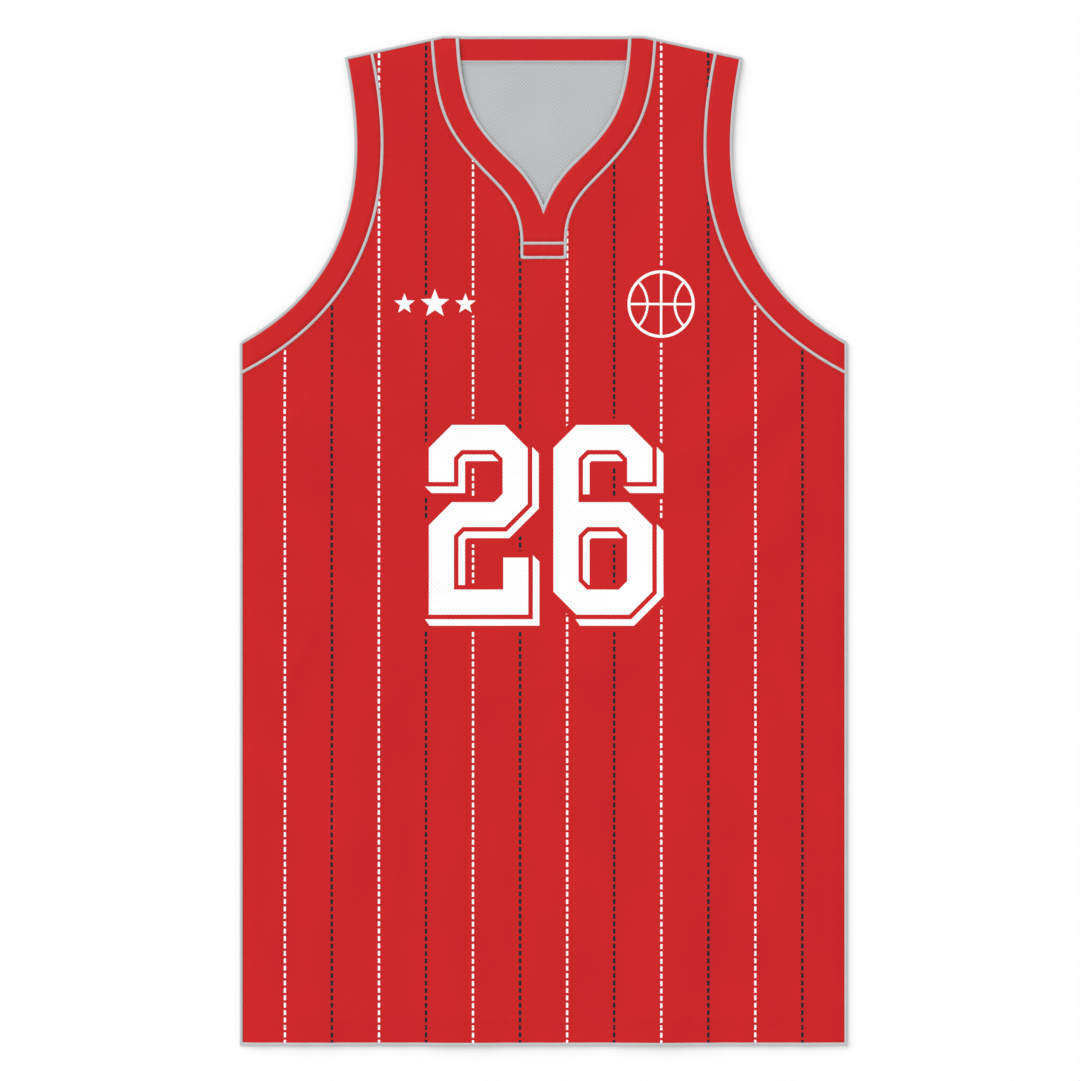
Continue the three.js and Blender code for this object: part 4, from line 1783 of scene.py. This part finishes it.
@dataclass
class Panels:
    """The front and the back panel in eyelet mesh, with the stripes, the number and the marks."""

    cut: Cut
    front_lie: FrontLie
    back_lie: BackLie
    finishes: Finishes
    front_gap: float = 4.2
    back_gap: float = 6.5

    def build(self) -> list[bpy.types.Object]:
        """Makes the front panel and the back panel."""
        motifs = [BlockNumber().motif(), StarRow().motif(), BallRoundel().motif()]
        front = Cloth(
            "front_panel",
            self.cut.front_panel(),
            self.front_lie,
            MESH_PLY,
            self.front_gap,
            sinks=True,
            printed=Print(motifs),
        )
        back = Cloth(
            "back_panel",
            self.cut.back_panel(),
            self.back_lie,
            MESH_PLY,
            self.back_gap,
            printed=Print(),
        )
        return [cloth.made(self.finishes.mesh, Slot.MESH) for cloth in (front, back)]


@dataclass
class Collar:
    """The neck: front collar, tab, back collar, and their piping and edging."""

    cut: Cut
    front_lie: FrontLie
    back_lie: BackLie
    finishes: Finishes
    trims: Trims
    gap: float = 3.4
    inner_width: float = 1.1
    rim_steps: int = 84
    back_steps: int = 90

    def cloths(self) -> list[bpy.types.Object]:
        """Makes the front collar, the tab and the back collar."""
        cut = self.cut
        return [
            Cloth(node, outline, lie, BAND_PLY, self.gap).made(self.finishes.band, Slot.RIB)
            for node, outline, lie in (
                ("front_collar", cut.front_collar(), self.front_lie),
                ("collar_tab", cut.collar_tab(), self.front_lie),
                ("back_collar", cut.back_collar(), self.back_lie),
            )
        ]

    def front_trims(self) -> list[bpy.types.Object]:
        """Makes the piping round collar and tab, the edging in the V and the bar over the tab."""
        cut, sewn, lie, half = self.cut, self.trims.sewn, self.front_lie, self.cut.piping / 2
        count = len(both_sides(cut.collar_path(0))) - 1
        seam = [evenly(both_sides(cut.collar_path(aside)), count) for aside in (half, -half)]
        rims = [cut.rim_line(aside) for aside in (0.0, cut.piping + cut.v_allowance)]
        rims = [both_sides(evenly(line, self.rim_steps)) for line in rims]
        tab_half, tab_top, _ = cut.tab
        bar = [
            spaced(np.array([(half - tab_half, y), (tab_half - half, y)]), cut.step)
            for y in (tab_top + half, tab_top - half)
        ]
        return [
            sewn("collar_piping", seam, self.trims.piping, lie.on_seam()),
            sewn("collar_edging", rims, self.trims.edging, lie.on_rim()),
            sewn("tab_piping", bar, self.trims.piping, lie.on_seam()),
        ]

    def back_trims(self) -> list[bpy.types.Object]:
        """Makes the piping of the back collar, its thin inner line and the neck's edging."""
        cut, sewn, lie = self.cut, self.trims.sewn, self.back_lie
        right = turned_to(Side.RIGHT, cut.slope)
        outer, inner = (
            [
                evenly(
                    fitted(moved(both_sides(cut.back_seam), aside), cut.slope, right),
                    self.back_steps,
                )
                for aside in (width / 2, -width / 2)
            ]
            for width in (cut.piping, self.inner_width)
        )
        y, x = cut.half_length, cut.back_neck
        neck = [
            spaced(np.array([(-x, edge), (x, edge)]), cut.step)
            for edge in (y - cut.piping - cut.rim_allowance, y)
        ]
        thin = self.trims.thin_piping
        return [
            sewn("back_collar_piping", outer, self.trims.piping, lie.on_seam(), lie.up),
            sewn("back_collar_inner_piping", inner, thin, level(0.0), has_solid=False),
            sewn("back_neck_edging", neck, self.trims.edging, lie.on_rim()),
        ]


@dataclass
class ArmholeBand:
    """One armhole band of one layer, with its piping and edging."""

    cut: Cut
    lie: FrontLie | BackLie
    layer: Layer
    side: Side
    finishes: Finishes
    trims: Trims
    gap: float = 3.4
    steps: int = 124

    def build(self) -> tuple[bpy.types.Object, list[bpy.types.Object]]:
        """Makes the band, and its piping and edging."""
        cut, layer, side = self.cut, self.layer.value, self.side.name.lower()
        band = Cloth(f"{layer}_band_{side}", cut.band(self.side), self.lie, BAND_PLY, self.gap)
        half, width = cut.piping / 2, cut.piping + cut.rim_allowance
        seam = [cut.closed_ends(moved(cut.armhole, aside)) for aside in (half, -half)]
        rim = [cut.closed_ends(moved(cut.armhole_rim, aside)) for aside in (-width, 0.0)]
        return band.made(self.finishes.band, Slot.RIB), [
            self.trims.sewn(
                f"{layer}_armhole_{name}_{side}",
                [turned_to(self.side, evenly(line, self.steps)) for line in lines],
                section,
                heights,
                up,
            )
            for name, lines, section, heights, up in (
                ("piping", seam, self.trims.piping, self.lie.on_seam(), self.lie.up),
                ("edging", rim, self.trims.edging, self.lie.on_rim(), 1),
            )
        ]


@dataclass
class ClosedSeams:
    """The cords in the side and shoulder seams, and the edging of the hem."""

    cut: Cut
    front_lie: FrontLie
    trims: Trims
    middle: float = 1.85
    side_drop: float = 0.35
    below_rim: float = 1.0

    def build(self) -> list[bpy.types.Object]:
        """Makes the cords and the hem's two edgings."""
        cut, piping = self.cut, self.cut.piping
        x, top = cut.half_width, cut.rim_foot_y - self.below_rim
        shoulder = [cornered(moved(cut.shoulder_line, aside), cut.step) for aside in (0, -piping)]
        count = min(len(line) for line in shoulder) - 1
        shoulder = [evenly(line, count) for line in shoulder]
        seam = [
            spaced(np.array([(edge, cut.hem_y), (edge, top)]), cut.level_step)
            for edge in (-x, piping - x)
        ]
        made = [
            self.trims.sewn(
                f"{name}_{side.name.lower()}",
                [turned_to(side, line) for line in lines],
                self.trims.cord,
                heights,
                form=Form.CORD,
            )
            for side in Side
            for name, lines, heights in (
                ("shoulder_piping", shoulder, level(self.middle)),
                ("side_piping", seam, self.side_height),
            )
        ]
        low = -cut.half_length
        hem = [
            spaced(np.array([(-x, y), (x, y)]), cut.step)
            for y in (low + piping + cut.rim_allowance, low)
        ]
        for layer, heights in ((Layer.FRONT, self.front_hem), (Layer.BACK, level(0.0))):
            name = f"hem_edging_{layer.value}"
            made.append(self.trims.sewn(name, hem, self.trims.edging, heights))
        return made

    def side_height(self, points: Points) -> np.ndarray:
        """The height of the side cord's middle, which comes down below the underarm."""
        lie = self.front_lie
        below = smooth((self.cut.underarm_y - points[:, 1]) / lie.underarm_fade)
        return self.middle - self.side_drop * below

    def front_hem(self, points: Points) -> np.ndarray:
        """The height of the front hem's edging, which comes down to the side seams."""
        return self.front_lie.under(points) - self.front_lie.sinking(points)


@dataclass
class Stitching:
    """A row of lock stitches in thread, each sunk into the cloth at its ends."""

    stitch: float = 2.7
    gap: float = 0.8
    radius: float = 0.2
    sides: int = 6
    cord_clear: float = 3.2
    # Each ring's place along half a stitch, its share of the radius and its rise.
    rings: tuple[tuple[float, float, float], ...] = (
        (-1.0, 0.35, -0.16),
        (-0.7, 0.9, 0.08),
        (0.0, 1.0, 0.14),
        (0.7, 0.9, 0.08),
        (1.0, 0.35, -0.16),
    )

    def one(self) -> tuple[np.ndarray, list[tuple[int, ...]]]:
        """One stitch: rows of (along, across, up), and its faces."""
        turns = np.arange(self.sides) * (2 * math.pi / self.sides)
        shape = np.array(
            [
                (
                    along * self.stitch / 2,
                    size * self.radius * math.cos(turn),
                    size * self.radius * math.sin(turn) + rise,
                )
                for along, size, rise in self.rings
                for turn in turns
            ]
        )
        faces = []
        for start in range(0, (len(self.rings) - 1) * self.sides, self.sides):
            for k in range(self.sides):
                here, there = start + k, start + (k + 1) % self.sides
                faces.append((here, there, there + self.sides, here + self.sides))
        last = (len(self.rings) - 1) * self.sides
        faces += [tuple(range(self.sides))[::-1], tuple(range(last, last + self.sides))]
        return shape, faces

    def made(self, lines: Sequence[Points], heights: Heights, cords: Trace) -> Skin:
        """The stitches along some lines, on a surface whose heights are given, clear of cords."""
        shape, faces_of_one = self.one()
        corners, faces = [], []
        for line in lines:
            count = int(lengths_along(line)[-1] / (self.stitch + self.gap))
            stops = evenly(line, count * 2)
            centres, asides = stops[1::2], left_of(stops[2::2] - stops[0:-1:2])
            kept = cords.distance(centres) > self.cord_clear
            centres, asides = centres[kept], asides[kept]
            ways = -left_of(asides)
            for centre, way, aside, z in zip(centres, ways, asides, heights(centres)):
                start = len(corners) * len(shape)
                plan = centre + np.outer(shape[:, 0], way) + np.outer(shape[:, 1], aside)
                corners.append(np.column_stack([plan, z + shape[:, 2]]))
                faces += [tuple(start + i for i in face) for face in faces_of_one]
        return Skin(np.vstack(corners), faces)


@dataclass
class TopStitching:
    """Rows of red stitches beside the piping, and a twin row above the hem."""

    cut: Cut
    front_lie: FrontLie
    finishes: Finishes
    beside: float = 3.1
    hem_rows: tuple[float, float] = (14.0, 17.5)
    hem_in: float = 2.0

    def build(self) -> list[bpy.types.Object]:
        """Makes the rows of the front."""
        cut = self.cut
        armhole = cut.closed_ends(moved(cut.armhole, -self.beside))
        x = cut.side_x + self.hem_in
        hem = [np.array([(x, cut.hem_y + y), (-x, cut.hem_y + y)]) for y in self.hem_rows]
        return [
            dressed(
                Stitching()
                .made(lines, self.surface, self.front_lie.closed)
                .made(name, self.finishes.thread),
                [],
                Slot.MESH,
            )
            for name, lines in (
                ("armhole_stitching", [turned_to(side, armhole) for side in Side]),
                ("collar_stitching", [both_sides(cut.collar_path(-self.beside))]),
                ("hem_stitching", hem),
            )
        ]

    def surface(self, points: Points) -> np.ndarray:
        """The height of the front panel's outer face."""
        return self.front_lie.faces(points, MESH_PLY, True)[0]


@dataclass
class Studio:
    """The pale floor, the soft lights and the camera that looks straight down."""

    lens: float = 85.0
    sensor: float = 36.0
    frame_length: float = 868.8
    aim: tuple[float, float, float] = (-2.9, 0.1, 3.0)
    floor_half: float = 20000.0
    floor_below: float = 0.2
    key_from: tuple[float, float, float] = (-1.0, 1.0, 1.25)
    key_strength: float = 1.55
    key_spread: float = 55.0
    world_strength: float = 0.74

    def build(self) -> None:
        """Makes the floor, the lights, the world and the camera."""
        self.make_floor()
        self.make_key()
        self.make_world()
        self.make_camera()
        bpy.context.scene.view_settings.view_transform = "Standard"

    def make_floor(self) -> None:
        """Makes the floor just below the jersey."""
        half, z = self.floor_half, -self.floor_below
        corners = np.array([(-half, -half, z), (half, -half, z), (half, half, z), (-half, half, z)])
        mesh = bpy.data.meshes.new("floor")
        mesh.from_pydata((corners * MM).tolist(), [], [(0, 1, 2, 3)])
        mesh.materials.append(BackdropPaper("background_paper_white", "#F8F8F8").material())
        floor = bpy.data.objects.new("floor", mesh)
        bpy.context.scene.collection.objects.link(floor)

    def make_key(self) -> None:
        """Makes the wide, far key light, which rakes across the cloth from the top left."""
        light = bpy.data.lights.new("key", "SUN")
        light.energy, light.angle = self.key_strength, math.radians(self.key_spread)
        lamp = bpy.data.objects.new("key", light)
        lamp.location = Vector(self.key_from)
        lamp.rotation_mode = "QUATERNION"
        lamp.rotation_quaternion = (-lamp.location).to_track_quat("-Z", "Y")
        bpy.context.scene.collection.objects.link(lamp)

    def make_world(self) -> None:
        """Makes an even pale world."""
        world = bpy.data.worlds.new("studio")
        world.use_nodes = True
        tree = world.node_tree
        tree.nodes.clear()
        sky = add_node(
            tree,
            "ShaderNodeBackground",
            {"Color": (1.0, 1.0, 1.0, 1.0), "Strength": self.world_strength},
        )
        add_node(tree, "ShaderNodeOutputWorld", links={"Surface": (sky, "Background")})
        bpy.context.scene.world = world

    def make_camera(self) -> None:
        """Makes the camera, whose frame has the photograph's length on the jersey."""
        camera = bpy.data.cameras.new("camera")
        camera.lens, camera.sensor_width = self.lens, self.sensor
        eye = bpy.data.objects.new("camera", camera)
        distance = self.frame_length * self.lens / self.sensor
        eye.location = (Vector(self.aim) + Vector((0, 0, distance))) * MM
        bpy.context.scene.collection.objects.link(eye)
        bpy.context.scene.camera = eye


def main() -> None:
    """Builds the jersey and the studio."""
    logging.basicConfig(level=logging.INFO, format="%(name)s: %(message)s")
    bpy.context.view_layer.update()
    cut, finishes = Cut(), Finishes()
    front_lie, back_lie = FrontLie(cut), BackLie(cut)
    trims = Trims(finishes.tape)
    Studio().build()
    front, back = Panels(cut, front_lie, back_lie, finishes).build()
    collar = Collar(cut, front_lie, back_lie, finishes, trims)
    front_collar, tab, back_collar = collar.cloths()
    piping, edging, bar = collar.front_trims()
    neck = collar.back_trims()
    for layer, lie in ((Layer.BACK, back_lie), (Layer.FRONT, front_lie)):
        for side in Side:
            band, sewn = ArmholeBand(cut, lie, layer, side, finishes, trims).build()
            under = "floor" if layer is Layer.BACK else f"back_band_{side.name.lower()}_cloth"
            sheet_of(band, cut.band(side), cut.band_strip(), under, sewn)
    closed = ClosedSeams(cut, front_lie, trims).build()
    stitches = TopStitching(cut, front_lie, finishes).build()
    for piece, outline, under, sewn in (
        (front, cut.front_panel(), "back_panel_cloth", stitches),
        (back, cut.back_panel(), "floor", closed),
        (tab, cut.collar_tab(), "back_panel_cloth", [bar]),
        (back_collar, cut.back_collar(), "floor", neck),
    ):
        sheet_of(piece, outline, np.ptp(outline, axis=0), under, sewn)
    sewn = [piping, edging]
    sheet_of(front_collar, cut.front_collar(), cut.collar_strip(), "back_collar_cloth", sewn)


if __name__ == "__main__":
    main()
